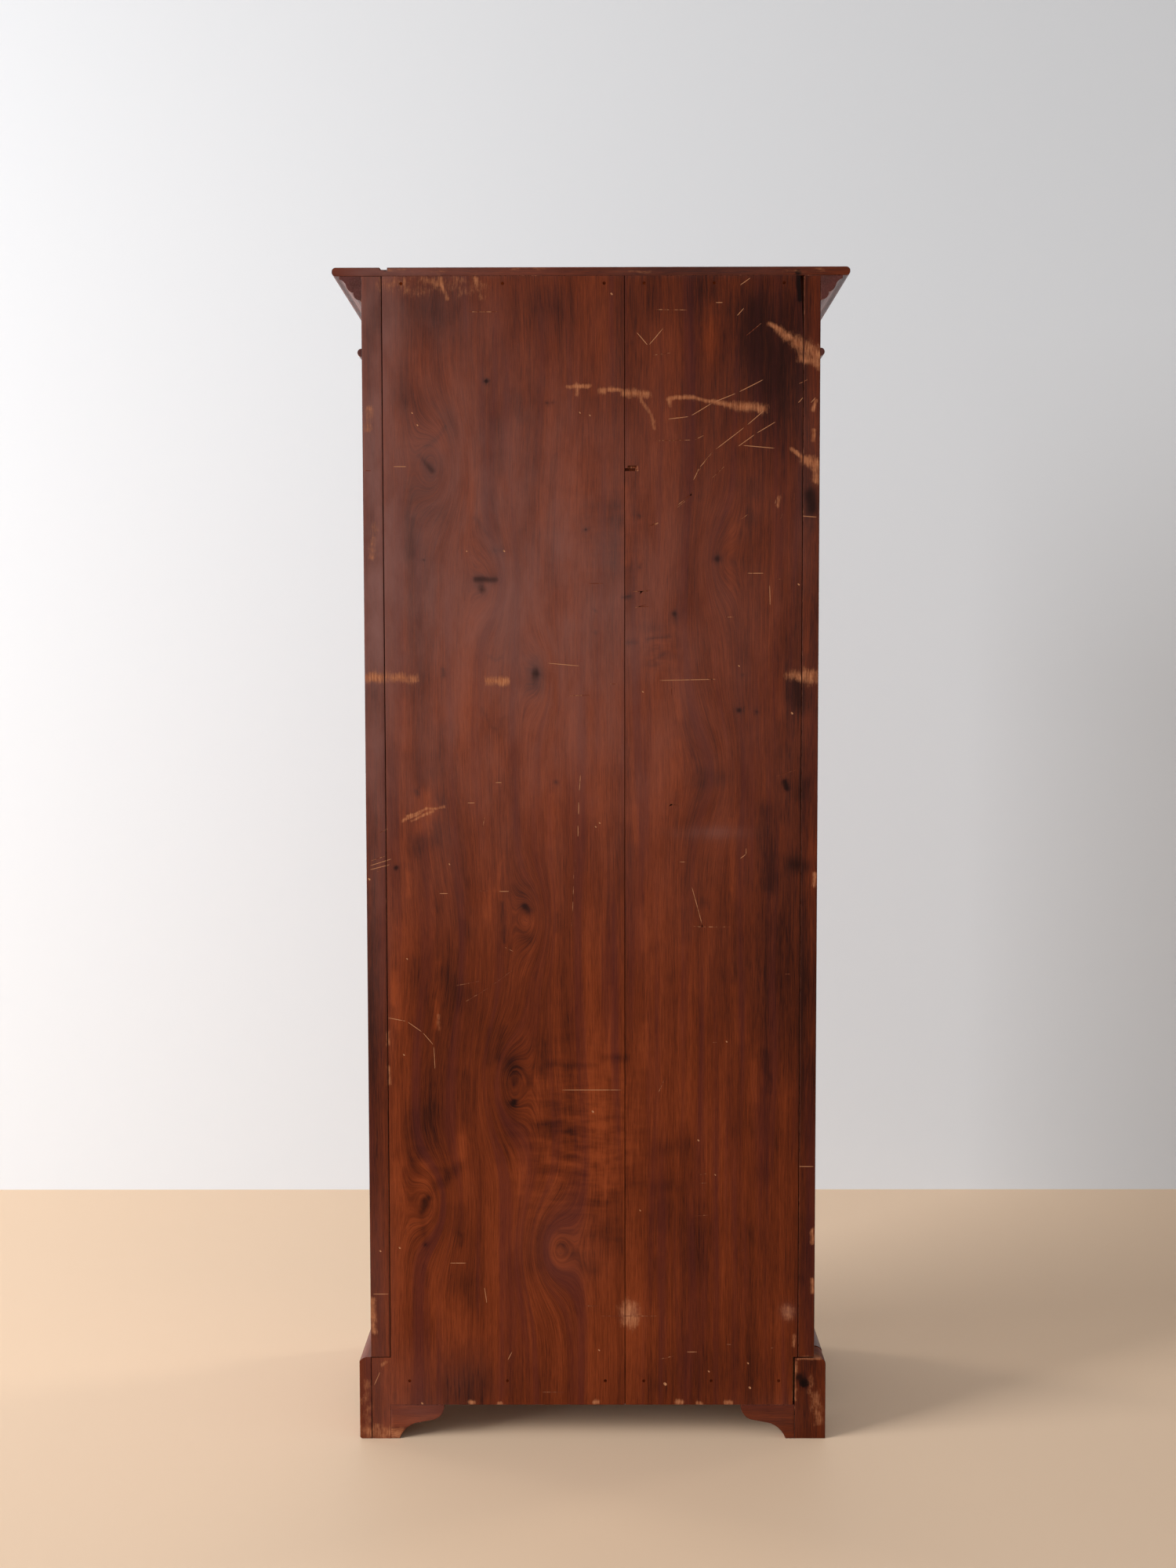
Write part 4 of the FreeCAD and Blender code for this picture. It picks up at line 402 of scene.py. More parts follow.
# How a pattern that runs up and down is turned for wood that runs another way
TURNS = {"up": (0.0, 0.0, 0.0), "across": (0.0, math.pi / 2, 0.0), "fore and aft": (math.pi / 2, 0.0, 0.0)}

# A range whose ends are eased
SMOOTH = {"interpolation_type": "SMOOTHSTEP"}


def socket_of(source):
    """A socket as it is, or the first output of a node that is in use."""
    if isinstance(source, bpy.types.NodeSocket):
        return source
    return next(socket for socket in source.outputs if socket.enabled)


def lay_stops(elements, stops):
    """Gives a colour ramp its stops, which are pairs of place and colour."""
    while len(elements) < len(stops):
        elements.new(0.5)
    for element, (place, value) in zip(elements, stops):
        element.position = place
        element.color = value


def add(tree, kind, settings=None, links=None):
    """A shader node with its settings, and with links into its inputs from sockets or other nodes."""
    node = tree.nodes.new(kind)
    for key, value in (settings or {}).items():
        if key == "stops":
            lay_stops(node.color_ramp.elements, value)
        elif isinstance(key, int) or key in node.inputs:
            node.inputs[key].default_value = value
        else:
            setattr(node, key, value)
    for key, source in (links or {}).items():
        tree.links.new(socket_of(source), node.inputs[key])
    return node


def empty_material(name):
    """A new material without nodes, and its tree."""
    material = bpy.data.materials.new(name)
    material.use_nodes = True
    material.node_tree.nodes.clear()
    return material, material.node_tree


def blank(name, settings):
    """A new material with one Principled shader that has these settings."""
    material, tree = empty_material(name)
    shader = add(tree, "ShaderNodeBsdfPrincipled", settings)
    add(tree, "ShaderNodeOutputMaterial", links={"Surface": shader})
    return material, tree, shader


def lay_surface(tree, shader, looks, height, strength, depth):
    """Links a material's looks into its shader, and a height as a bump of this strength and depth."""
    bump = add(tree, "ShaderNodeBump", {"Strength": strength, "Distance": depth}, {"Height": height})
    for name, source in {**looks, "Normal": bump}.items():
        tree.links.new(socket_of(source), shader.inputs[name])


def pattern(tree, place, across, along, detail=2.0, roughness=0.5):
    """Patches from nought to one, of this width across and this length along the grain, in metres."""
    size = (MM / across, MM / across, MM / along)
    scaled = add(tree, "ShaderNodeVectorMath", {"operation": "MULTIPLY", 1: size}, {0: place})
    settings = {"Scale": 1.0, "Detail": detail, "Roughness": roughness}
    return add(tree, "ShaderNodeTexNoise", settings, {"Vector": scaled})


def sum_of(tree, *terms):
    """A weighted sum of values, which are given as pairs of value and weight."""
    total = None
    for value, weight in terms:
        links = {0: value} if total is None else {0: value, 2: total}
        total = add(tree, "ShaderNodeMath", {"operation": "MULTIPLY_ADD", 1: weight, 2: 0.0}, links)
    return total


def tinted(tree, wood, tint, value, low, high, most, least=0.0):
    """Wood that takes on a tint as a value passes from low to high; most and least are the tint's shares."""
    settings = {**SMOOTH, "From Min": low, "From Max": high, "To Min": least, "To Max": most}
    share = add(tree, "ShaderNodeMapRange", settings, {"Value": value})
    return add(tree, "ShaderNodeMix", {"data_type": "RGBA", 7: tint}, {0: share, 6: wood})


def grain_place(tree, runs):
    """Coordinates in millimetres, with the grain along the third; the marked pieces carry their own."""
    if runs == "marked":
        return add(tree, "ShaderNodeAttribute", {"attribute_name": "grain"}).outputs["Vector"]
    place = add(tree, "ShaderNodeTexCoord").outputs["Object"]
    settings = {"Rotation": TURNS[runs], "Scale": (1 / MM, 1 / MM, 1 / MM)}
    return add(tree, "ShaderNodeMapping", settings, {"Vector": place})


def bent_grain(tree, place, amount):
    """Grain that wanders slowly from side to side, by about this many millimetres."""
    wander = pattern(tree, place, 160 * MM, 700 * MM, 1.0).outputs["Color"]
    middle = {"operation": "SUBTRACT", 1: (0.5, 0.5, 0.5)}
    centred = add(tree, "ShaderNodeVectorMath", middle, {0: wander})
    sideways = {"operation": "MULTIPLY", 1: (amount, amount, 0.0)}
    scaled = add(tree, "ShaderNodeVectorMath", sideways, {0: centred})
    return add(tree, "ShaderNodeVectorMath", {"operation": "ADD"}, {0: place, 1: scaled})


def bared_wood(tree, wood, wear, streaks, bent, flat):
    """Wood whose polish is torn off in ragged, fibrous places where the mesh says so, and how far it is."""
    colours = bpy.context.scene.cabinet_colours
    frays = pattern(tree, bent, 1.4 * MM, 12 * MM, 2.0, 0.6)
    rags = pattern(tree, flat, 13 * MM, 17 * MM, 4.0, 0.65)
    torn = sum_of(tree, (wear, 1.0), (frays, 0.5), (rags, 1.2))
    settings = {**SMOOTH, "From Min": 1.1, "From Max": 1.85, "To Max": 0.85}
    frayed = add(tree, "ShaderNodeMapRange", settings, {"Value": torn})
    settings = {**SMOOTH, "From Min": 0.05, "From Max": 0.3}
    touched = add(tree, "ShaderNodeMapRange", settings, {"Value": wear})
    bared = add(tree, "ShaderNodeMath", {"operation": "MULTIPLY"}, {0: frayed, 1: touched})
    stops = ((0.36, colours.rubbed), (0.62, colours.bare))
    fibrous = sum_of(tree, (streaks, 0.5), (frays, 0.5))
    under = add(tree, "ShaderNodeValToRGB", {"stops": stops}, {"Fac": fibrous})
    return add(tree, "ShaderNodeMix", {"data_type": "RGBA"}, {0: bared, 6: wood, 7: under}), bared


def mahogany(name, runs, raw=False):
    """Old mahogany under a thin worn polish, softly shiny: dark and orange stripes, streaks and open pores.

    Raw mahogany, inside the cabinet, is paler and matt. On the marked pieces of the back the grain, the bare
    places, the dark places and the grey layer come from the mesh. The dark places are partly painted shade,
    and the grey layer is dust together with a painted sheen.
    """
    sizes, colours = bpy.context.scene.cabinet_sizes, bpy.context.scene.cabinet_colours
    marked = runs == "marked"
    polish = {"Specular IOR Level": 0.25, "Coat Weight": 0.22, "Coat Roughness": 0.16}
    if marked or raw:
        polish = {"Specular IOR Level": 0.07}
    material, tree, shader = blank(name, {"IOR": 1.5, **polish})
    place = grain_place(tree, runs)
    flat = place
    if marked:
        flat = add(tree, "ShaderNodeVectorMath", {"operation": "MULTIPLY", 1: (1.0, 0.0, 1.0)}, {0: place})
    bent = bent_grain(tree, flat, 13.0)
    bands = pattern(tree, bent, sizes.band, 1100 * MM)
    stripes = pattern(tree, bent, sizes.stripe, 500 * MM)
    streaks = pattern(tree, bent, sizes.streak, 100 * MM, 3.0, 0.6)
    fibres = pattern(tree, bent, sizes.fibre, 24 * MM)
    smoke = pattern(tree, flat, 60 * MM, 150 * MM, 5.0, 0.62)
    plums = pattern(tree, bent, 2.3 * sizes.stripe, 600 * MM)
    tone = sum_of(tree, (bands, 0.25), (stripes, 0.12), (streaks, 0.19), (fibres, 0.27), (smoke, 0.17))
    if marked:
        ripple = add(tree, "ShaderNodeSeparateXYZ", links={0: place}).outputs["Y"]
        # The marks are the wear, the darkness, partly stains and knots and partly painted shade, and the
        # grey of dust and painted sheen
        marks = add(tree, "ShaderNodeAttribute", {"attribute_name": "marks"}).outputs["Vector"]
        wear, shade, bloom_and_sheen = add(tree, "ShaderNodeSeparateXYZ", links={0: marks}).outputs
        curl = pattern(tree, flat, 42 * MM, 12 * MM)
        centred = add(tree, "ShaderNodeMath", {"operation": "SUBTRACT", 1: 0.5}, {0: curl})
        curled = add(tree, "ShaderNodeMath", {"operation": "MULTIPLY"}, {0: centred, 1: ripple})
        tone = sum_of(tree, (tone, 1.0), (curled, 0.42), (shade, -0.2))
    stops = ((0.19, colours.knot), (0.365, colours.dark), (0.5, colours.middle), (0.635, colours.warm))
    if raw:
        stops = ((0.2, colours.dark), (0.42, colours.rubbed), (0.65, colours.bare))
    wood = add(tree, "ShaderNodeValToRGB", {"stops": stops}, {"Fac": tone})
    wood = tinted(tree, wood, colours.plum, plums, 0.48, 0.7, 0.15 if raw else 0.55)
    settings = {**SMOOTH, "From Min": 0.6, "From Max": 0.74, "To Max": 0.5}
    flecks = add(tree, "ShaderNodeMapRange", settings, {"Value": fibres})
    wood = add(tree, "ShaderNodeMix", {"data_type": "RGBA", 7: colours.dark}, {0: flecks, 6: wood})
    gloss = sum_of(tree, (smoke, 0.3), (streaks, 0.12))
    height = sum_of(tree, (streaks, 0.5), (flecks, -0.8), (stripes, 0.2))
    if marked:
        # Dust and a painted sheen of the window light lie grey over the wood
        settings = {**SMOOTH, "From Min": 0.2, "From Max": 0.8, "To Min": 0.25, "To Max": 0.75}
        patchy = add(tree, "ShaderNodeMapRange", settings, {"Value": smoke})
        dust_and_sheen_veil = add(tree, "ShaderNodeMath", {"operation": "MULTIPLY"}, {0: bloom_and_sheen, 1: patchy})
        wood = add(tree, "ShaderNodeMix", {"data_type": "RGBA", 7: colours.haze}, {0: dust_and_sheen_veil, 6: wood})
        wood = tinted(tree, wood, colours.knot, shade, 0.35, 1.0, 0.7)
        wood, bared = bared_wood(tree, wood, wear, streaks, bent, flat)
        gloss = sum_of(tree, (gloss, 1.0), (bared, 0.22), (dust_and_sheen_veil, 0.15))
        height = sum_of(tree, (height, 1.0), (bared, -0.7))
    rough = add(tree, "ShaderNodeMath", {"operation": "ADD", 1: 0.26, "use_clamp": True}, {0: gloss})
    lay_surface(tree, shader, {"Base Color": wood, "Roughness": rough}, height, 0.35, 0.3 * MM)
    return material


def worn_edge(name, rubbing):
    """Mahogany arrises whose polish is rubbed through in places: dull light wood between dark polish."""
    colours = bpy.context.scene.cabinet_colours
    material, tree, shader = blank(name, {"IOR": 1.5, "Specular IOR Level": 0.35})
    place = grain_place(tree, "up")
    long_rubs = pattern(tree, place, 60 * MM, 60 * MM, 3.0, 0.6)
    short_rubs = pattern(tree, place, 4 * MM, 9 * MM)
    rubs = sum_of(tree, (long_rubs, 0.8), (short_rubs, 0.35))
    settings = {**SMOOTH, "From Min": 0.7 - rubbing, "From Max": 0.92 - rubbing}
    rubbed = add(tree, "ShaderNodeMapRange", settings, {"Value": rubs})
    stops = ((0.3, colours.dark), (0.75, colours.middle))
    polish = add(tree, "ShaderNodeValToRGB", {"stops": stops}, {"Fac": short_rubs})
    stops = ((0.35, colours.middle), (0.7, colours.bare))
    under = add(tree, "ShaderNodeValToRGB", {"stops": stops}, {"Fac": short_rubs})
    wood = add(tree, "ShaderNodeMix", {"data_type": "RGBA"}, {0: rubbed, 6: polish, 7: under})
    rough = sum_of(tree, (rubbed, 0.25), (short_rubs, 0.7))
    lay_surface(tree, shader, {"Base Color": wood, "Roughness": rough}, short_rubs, 0.3, 0.2 * MM)
    return material


def end_grain(name):
    """Sawn ends of mahogany: dark, since they drank the stain, with fine pores and dull, dusty hollows."""
    colours = bpy.context.scene.cabinet_colours
    material, tree, shader = blank(name, {"IOR": 1.5, "Specular IOR Level": 0.15})
    place = grain_place(tree, "fore and aft")
    pores = pattern(tree, place, 1.2 * MM, 30 * MM)
    rings = pattern(tree, place, 20 * MM, 100 * MM)
    stops = ((0.2, colours.dark), (0.7, colours.plum))
    wood = add(tree, "ShaderNodeValToRGB", {"stops": stops}, {"Fac": rings})
    wood = tinted(tree, wood, colours.haze, pores, 0.4, 0.75, 0.35, 0.1)
    rough = sum_of(tree, (pores, 0.4), (rings, 0.7))
    lay_surface(tree, shader, {"Base Color": wood, "Roughness": rough}, pores, 0.3, 0.2 * MM)
    return material


def raw_scratch(name, freshness):
    """Torn mahogany in the bottom of a scratch: pale and quite matt, browner where old dirt lies in it."""
    colours = bpy.context.scene.cabinet_colours
    material, tree, shader = blank(name, {"Specular IOR Level": 0.2, "Roughness": 0.8})
    dirt = pattern(tree, grain_place(tree, "up"), 6 * MM, 12 * MM, 3.0, 0.6)
    settings = {**SMOOTH, "From Min": 0.62 - 0.4 * freshness, "From Max": 0.86 - 0.4 * freshness}
    clean = add(tree, "ShaderNodeMapRange", settings, {"Value": dirt})
    settings = {"data_type": "RGBA", 6: colours.middle, 7: colours.scratch}
    wood = add(tree, "ShaderNodeMix", settings, {0: clean})
    lay_surface(tree, shader, {"Base Color": wood}, dirt, 0.4, 0.2 * MM)
    return material


def old_pine(name, runs):
    """Planed and unpolished pine, browned by age: pale early wood, narrow darker late wood lines, matt."""
    sizes, colours = bpy.context.scene.cabinet_sizes, bpy.context.scene.cabinet_colours
    material, tree, shader = blank(name, {"Specular IOR Level": 0.25})
    place = grain_place(tree, runs)
    bent = bent_grain(tree, place, 30.0)
    rings = pattern(tree, bent, sizes.pine_ring, 500 * MM, 2.0, 0.4)
    fibres = pattern(tree, bent, 1.2 * MM, 30 * MM)
    grime = pattern(tree, place, 120 * MM, 120 * MM, 4.0, 0.6)
    stops = ((0.36, colours.pine), (0.62, colours.pine), (0.7, colours.bare))
    wood = add(tree, "ShaderNodeValToRGB", {"stops": stops}, {"Fac": rings})
    wood = tinted(tree, wood, colours.pine_dark, rings, 0.5, 0.72, 0.6)
    wood = tinted(tree, wood, colours.dark, grime, 0.45, 0.75, 0.45)
    wood = tinted(tree, wood, colours.dark, fibres, 0.5, 0.75, 0.18)
    gloss = sum_of(tree, (fibres, 0.2), (grime, 0.25))
    rough = add(tree, "ShaderNodeMath", {"operation": "ADD", 1: 0.5, "use_clamp": True}, {0: gloss})
    height = sum_of(tree, (fibres, 0.6), (rings, 0.6))
    lay_surface(tree, shader, {"Base Color": wood, "Roughness": rough}, height, 0.3, 0.25 * MM)
    return material


def dull_metal(name, metal, tarnish, roughness):
    """Handled metal, brass or iron: bright where it is rubbed, brown and rougher where it has tarnished."""
    colours = bpy.context.scene.cabinet_colours
    material, tree, shader = blank(name, {"Metallic": 1.0})
    place = grain_place(tree, "up")
    patches = pattern(tree, place, 7 * MM, 7 * MM, 4.0, 0.6)
    grit = pattern(tree, place, 0.9 * MM, 0.9 * MM)
    stains = sum_of(tree, (patches, 0.8), (grit, 0.25))
    settings = {**SMOOTH, "From Min": 0.4, "From Max": 0.72, "To Max": 0.85}
    dulled = add(tree, "ShaderNodeMapRange", settings, {"Value": stains})
    settings = {"data_type": "RGBA", 6: getattr(colours, metal), 7: getattr(colours, tarnish)}
    skin = add(tree, "ShaderNodeMix", settings, {0: dulled})
    gloss = sum_of(tree, (dulled, 0.25), (grit, 0.1))
    rough = add(tree, "ShaderNodeMath", {"operation": "ADD", 1: roughness}, {0: gloss})
    lay_surface(tree, shader, {"Base Color": skin, "Roughness": rough}, grit, 0.25, 0.1 * MM)
    return material


def old_glass(name):
    """Drawn window glass: clear, with slow waves that bend what is mirrored in it."""
    material, tree = empty_material(name)
    waves = pattern(tree, grain_place(tree, "up"), 45 * MM, 110 * MM, 1.0)
    bump = add(tree, "ShaderNodeBump", {"Strength": 0.12, "Distance": 1.0 * MM}, {"Height": waves})
    clear = add(tree, "ShaderNodeBsdfTransparent", {"Color": bpy.context.scene.cabinet_colours.glass})
    mirror = add(tree, "ShaderNodeBsdfGlossy", {"Roughness": 0.03}, {"Normal": bump})
    share = add(tree, "ShaderNodeFresnel", {"IOR": 1.4}, {"Normal": bump})
    pane = add(tree, "ShaderNodeMixShader", links={"Fac": share, 1: clear, 2: mirror})
    add(tree, "ShaderNodeOutputMaterial", links={"Surface": pane})
    return material


# The maker of each finish, and what the maker is told
FINISHES = {
    "mahogany_back": (mahogany, "marked"),
    "mahogany_up": (mahogany, "up"),
    "mahogany_across": (mahogany, "across"),
    "mahogany_fore_and_aft": (mahogany, "fore and aft"),
    "mahogany_raw": (mahogany, "up", True),
    "mahogany_worn_edge": (worn_edge, 0.14),
    "mahogany_grimed_edge": (worn_edge, 0.04),
    "mahogany_end_grain": (end_grain,),
    "mahogany_scratch_fresh": (raw_scratch, 1.0),
    "mahogany_scratch_old": (raw_scratch, 0.4),
    "pine_up": (old_pine, "up"),
    "pine_across": (old_pine, "across"),
    "pine_fore_and_aft": (old_pine, "fore and aft"),
    "brass_dull": (dull_metal, "brass", "brass_tarnish", 0.24),
    "iron_dark": (dull_metal, "iron", "iron_tarnish", 0.4),
    "iron_stained": (dull_metal, "middle", "dark", 0.6),
    "glass_drawn": (old_glass,),
}

# The finishes that are already made, by name
MATERIALS = {}


def finish_of(name):
    """The material of that name, made when it is first asked for."""
    if name not in MATERIALS:
        maker, *details = FINISHES[name]
        MATERIALS[name] = maker(name, *details)
    return MATERIALS[name]


def only(piece):
    """Selects one object and makes it active."""
    bpy.ops.object.select_all(action="DESELECT")
    piece.select_set(True)
    bpy.context.view_layer.objects.active = piece


def merged_copy(node):
    """A copy of a CAD node whose loose triangles are merged into whole faces."""
    source = frame["nodes"][node]
    only(source)
    bpy.ops.object.duplicate()
    piece = bpy.context.active_object
    piece.name = "dressed_" + node
    piece.data.name = piece.name
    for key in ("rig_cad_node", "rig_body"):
        del piece[key]
    only(piece)
    bpy.ops.object.mode_set(mode="EDIT")
    bpy.ops.mesh.select_all(action="SELECT")
    bpy.ops.mesh.customdata_custom_splitnormals_clear()
    bpy.ops.mesh.remove_doubles(threshold=0.01 * MM)
    bpy.ops.mesh.dissolve_limited(angle_limit=math.radians(0.5))
    bpy.ops.object.mode_set(mode="OBJECT")
    return piece


def ease_edges(piece, width):
    """Rounds the edges of a piece, and gives the rounding the second material."""
    only(piece)
    bpy.ops.object.modifier_add(type="BEVEL")
    bevel = piece.modifiers[-1]
    bevel.width = width
    bevel.segments = 2
    bevel.limit_method = "ANGLE"
    bevel.angle_limit = math.radians(EASED_FROM)
    bevel.use_clamp_overlap = True
    bevel.material = min(1, len(piece.data.materials) - 1)
    bpy.ops.object.modifier_apply(modifier=bevel.name)


def settle_normals(piece):
    """Smooth shading that leaves flat faces flat."""
    only(piece)
    bpy.ops.object.shade_smooth_by_angle(angle=math.radians(SHARP_FROM))
    bpy.ops.object.modifier_add(type="WEIGHTED_NORMAL")
    weighted = piece.modifiers[-1]
    weighted.keep_sharp = True
    bpy.ops.object.modifier_apply(modifier=weighted.name)


def dress(piece, node):
    """Lets a piece stand for its CAD node, on the same body."""
    body = frame["nodes"][node]["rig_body"]
    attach(piece, body)
    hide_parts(node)


def eased_wood(nodes, finish, width=None):
    """Eased copies of wooden nodes in one finish; polished ones have worn edges."""
    width = width or bpy.context.scene.cabinet_sizes.ease
    polished = finish.startswith("mahogany")
    for node in nodes:
        piece = merged_copy(node)
        piece.data.materials.clear()
        piece.data.materials.append(finish_of(finish))
        if polished:
            piece.data.materials.append(finish_of("mahogany_worn_edge"))
        ease_edges(piece, width)
        settle_normals(piece)
        dress(piece, node)


def refinish(nodes, finish):
    """Gives CAD nodes that keep their meshes another finish."""
    for name in nodes:
        mesh = frame["nodes"][name].data
        mesh.materials.clear()
        mesh.materials.append(finish_of(finish))


def show_end_grain(node):
    """Gives the rear end of a dressed moulding the finish of sawn end grain."""
    mesh = bpy.data.objects["dressed_" + node].data
    mesh.materials.append(finish_of("mahogany_end_grain"))
    for face in mesh.polygons:
        if face.normal.y > 0.9 and face.center.y > REAR - REAR_SKIN:
            face.material_index = len(mesh.materials) - 1


def near_strokes(points, strokes):
    """For each stroke the points near it and how strongly it touches them.

    Slow waves keep the strokes from being ruled lines. A stroke fades out softly past its half width.
    """
    reach, softness = 3.5, 1.3
    flat = points[:, (0, 2)]
    x, z = flat.T
    waves = np.stack([np.sin(z / 4.1 + np.sin(x / 9.0)), np.sin(x / 4.7 + np.sin(z / 11.0))], 1)
    flat = flat + 0.5 * waves + 1.2 * np.sin(flat[:, ::-1] / 17.0)
    for radius, strength, path in strokes:
        low, high = np.min(path, 0) - reach * radius, np.max(path, 0) + reach * radius
        near = np.flatnonzero(((flat > low) & (flat < high)).all(1))
        away = np.full(len(near), np.inf)
        for start, end in zip(path, path[1:] or path):
            run = np.subtract(end, start).astype(float)
            share = np.clip(((flat[near] - start) @ run) / max(run @ run, 1.0), 0.0, 1.0)
            away = np.minimum(away, np.linalg.norm(flat[near] - start - share[:, None] * run, axis=1))
        yield near, strength * np.exp(-(away / (softness * radius)) ** 2)


def strongest(points, strokes):
    """How strongly the strongest stroke touches each point."""
    total = np.zeros(len(points))
    for near, touch in near_strokes(points, strokes):
        total[near] = np.maximum(total[near], np.abs(touch))
    return total


def summed(points, strokes):
    """How strongly all strokes together touch each point."""
    total = np.zeros(len(points))
    for near, touch in near_strokes(points, strokes):
        total[near] += touch
    return total


def rear_faces(piece, chosen=None):
    """Selects the faces of a piece that look straight back from its rear plane.

    A choice, which is a function of their centres in millimetres and their areas, narrows them down.
    """
    mesh = piece.data
    centres, normals = np.empty(len(mesh.polygons) * 3), np.empty(len(mesh.polygons) * 3)
    areas = np.empty(len(mesh.polygons))
    mesh.polygons.foreach_get("center", centres)
    mesh.polygons.foreach_get("normal", normals)
    mesh.polygons.foreach_get("area", areas)
    rear = (centres[1::3] > REAR - 0.1 * MM) & (normals[1::3] > 0.99)
    if chosen:
        rear &= chosen(centres.reshape(-1, 3) / MM, areas)
    mesh.vertices.foreach_set("select", np.zeros(len(mesh.vertices), bool))
    mesh.edges.foreach_set("select", np.zeros(len(mesh.edges), bool))
    mesh.polygons.foreach_set("select", rear)
    return rear.any()


def split_leftovers(piece, cell):
    """Cuts the rear faces that are still large, having more than four corners, into small triangles."""
    if rear_faces(piece, lambda centres, areas: areas > 2 * cell ** 2):
        bpy.ops.object.mode_set(mode="EDIT")
        bpy.ops.mesh.quads_convert_to_tris()
        bpy.ops.mesh.subdivide(number_cuts=5)
        bpy.ops.object.mode_set(mode="OBJECT")


def refine(piece):
    """Cuts the squares under narrow marks finer, so that the marks have crisp edges."""
    narrow = [stroke for stroke in BARE_STROKES + SMEARS if stroke[0] < NARROW]
    if rear_faces(piece, lambda centres, areas: strongest(centres, narrow) > FINE_FROM):
        bpy.ops.object.mode_set(mode="EDIT")
        bpy.ops.mesh.subdivide(number_cuts=2)
        bpy.ops.object.mode_set(mode="OBJECT")


def lay_grid(piece, cell):
    """Cuts the rear face of a board into small squares, so that marks can be laid on its points."""
    coarse = 8
    low, high = (Vector(corner) for corner in (piece.bound_box[0], piece.bound_box[6]))
    only(piece)
    bpy.context.tool_settings.mesh_select_mode = (False, False, True)
    bpy.ops.object.mode_set(mode="EDIT")
    for axis in (0, 2):
        normal = Vector((0.0, 0.0, 0.0))
        normal[axis] = 1.0
        count = max(1, round((high[axis] - low[axis]) / (coarse * cell)))
        for step in range(1, count):
            place = low.copy()
            place[axis] += (high[axis] - low[axis]) * step / count
            bpy.ops.mesh.select_all(action="SELECT")
            bpy.ops.mesh.bisect(plane_co=place, plane_no=normal)
    bpy.ops.object.mode_set(mode="OBJECT")
    rear_faces(piece)
    bpy.ops.object.mode_set(mode="EDIT")
    bpy.ops.mesh.subdivide(number_cuts=coarse - 1)
    bpy.ops.object.mode_set(mode="OBJECT")
    split_leftovers(piece, cell)
    refine(piece)


def scratch_stroke(start, end, width, depth, finish):
    """A boat-shaped cutter for one straight run of a scratch in the rear plane."""
    a, b = (Vector((x * MM, REAR, z * MM)) for x, z in (start, end))
    run = b - a
    overrun, fullness = 0.6, 0.58
    half = run.length / 2 + width * overrun
    middle = (a + b) / 2 + Vector((0.0, depth, 0.0))
    bpy.ops.mesh.primitive_uv_sphere_add(segments=8, ring_count=8, radius=1.0, location=middle,
                                         rotation=(0.0, math.atan2(run.x, run.z), 0.0),
                                         scale=(width * fullness, depth * 2, half))
    bpy.context.active_object.data.materials.append(finish_of(finish))
    return bpy.context.active_object


def chip(place, across, up, depth):
    """A cutter for a splinter torn out of the rear: a wedge that runs out forward."""
    x, z = place
    size = (across, 2 * depth, 2 * up)
    bpy.ops.mesh.primitive_cube_add(size=1.0, location=(x * MM, REAR, z * MM), scale=size)
    piece = bpy.context.active_object
    bpy.ops.object.transform_apply(location=False, rotation=False, scale=True)
    bpy.ops.object.mode_set(mode="EDIT")
    bpy.ops.mesh.select_all(action="SELECT")
    bpy.ops.mesh.subdivide(number_cuts=2)
    bpy.ops.object.mode_set(mode="OBJECT")
    narrowing, thinning = 0.35, 0.98
    for point in piece.data.vertices:
        forward = max(0.0, -point.co.y / depth)
        point.co.x *= 1.0 - narrowing * forward
        point.co.z = point.co.z * (1.0 - thinning * forward) + up * thinning * forward
    piece.data.materials.append(finish_of("mahogany_scratch_old"))
    return piece


def scratch_cutter():
    """All scratches and dents as one cutter."""
    depth = bpy.context.scene.cabinet_sizes.scratch_depth
    strokes = []
    fresh, old = "mahogany_scratch_fresh", "mahogany_scratch_old"
    groups = (
        (UPPER_SCRATCHES, fresh, 1.3), (MIDDLE_SCRATCHES, fresh, 1.2), (LOWER_SCRATCHES, fresh, 1.2),
        (UPPER_FAINT_SCRATCHES, old, 1.2), (MIDDLE_FAINT_SCRATCHES, old, 1.1),
        (LOWER_FAINT_SCRATCHES, old, 1.1), (FINE_SCRATCHES, old, 0.9),
    )
    bpy.ops.object.select_all(action="DESELECT")
    for scratches, finish, width in groups:
        for scratch in scratches:
            for start, end in zip(scratch, scratch[1:]):
                strokes.append(scratch_stroke(start, end, width * MM, depth, finish))
    for x, z, width in DENTS:
        start, end = (x - 0.5, z - 0.5), (x + 0.5, z + 0.5)
        strokes.append(scratch_stroke(start, end, width * MM, 1.5 * depth, fresh))
    for place, across, up, deep in CHIPS:
        strokes.append(chip(place, across * MM, up * MM, deep * MM))
    bpy.ops.object.select_all(action="DESELECT")
    for stroke in strokes:
        stroke.select_set(True)
    bpy.context.view_layer.objects.active = strokes[0]
    bpy.ops.object.transform_apply(location=True, rotation=True, scale=True)
    bpy.ops.object.join()
    cutter = bpy.context.active_object
    cutter.name = "scratch_cutter"
    return cutter


def cut_scratches(piece, cutter):
    """Cuts the scratches into a piece; their walls take the cutter's finish."""
    only(piece)
    bpy.ops.object.modifier_add(type="BOOLEAN")
    cut = piece.modifiers[-1]
    cut.operation = "DIFFERENCE"
    cut.solver = "MANIFOLD"
    cut.material_mode = "TRANSFER"
    cut.object = cutter
    bpy.ops.object.modifier_apply(modifier=cut.name)


def glow(points, ovals):
    """How strongly each point lies in soft ovals, added up."""
    total = np.zeros(len(points))
    for x, z, across, up, amount in ovals:
        total += amount * np.exp(-((points[:, 0] - x) / across) ** 2 - ((points[:, 2] - z) / up) ** 2)
    return total


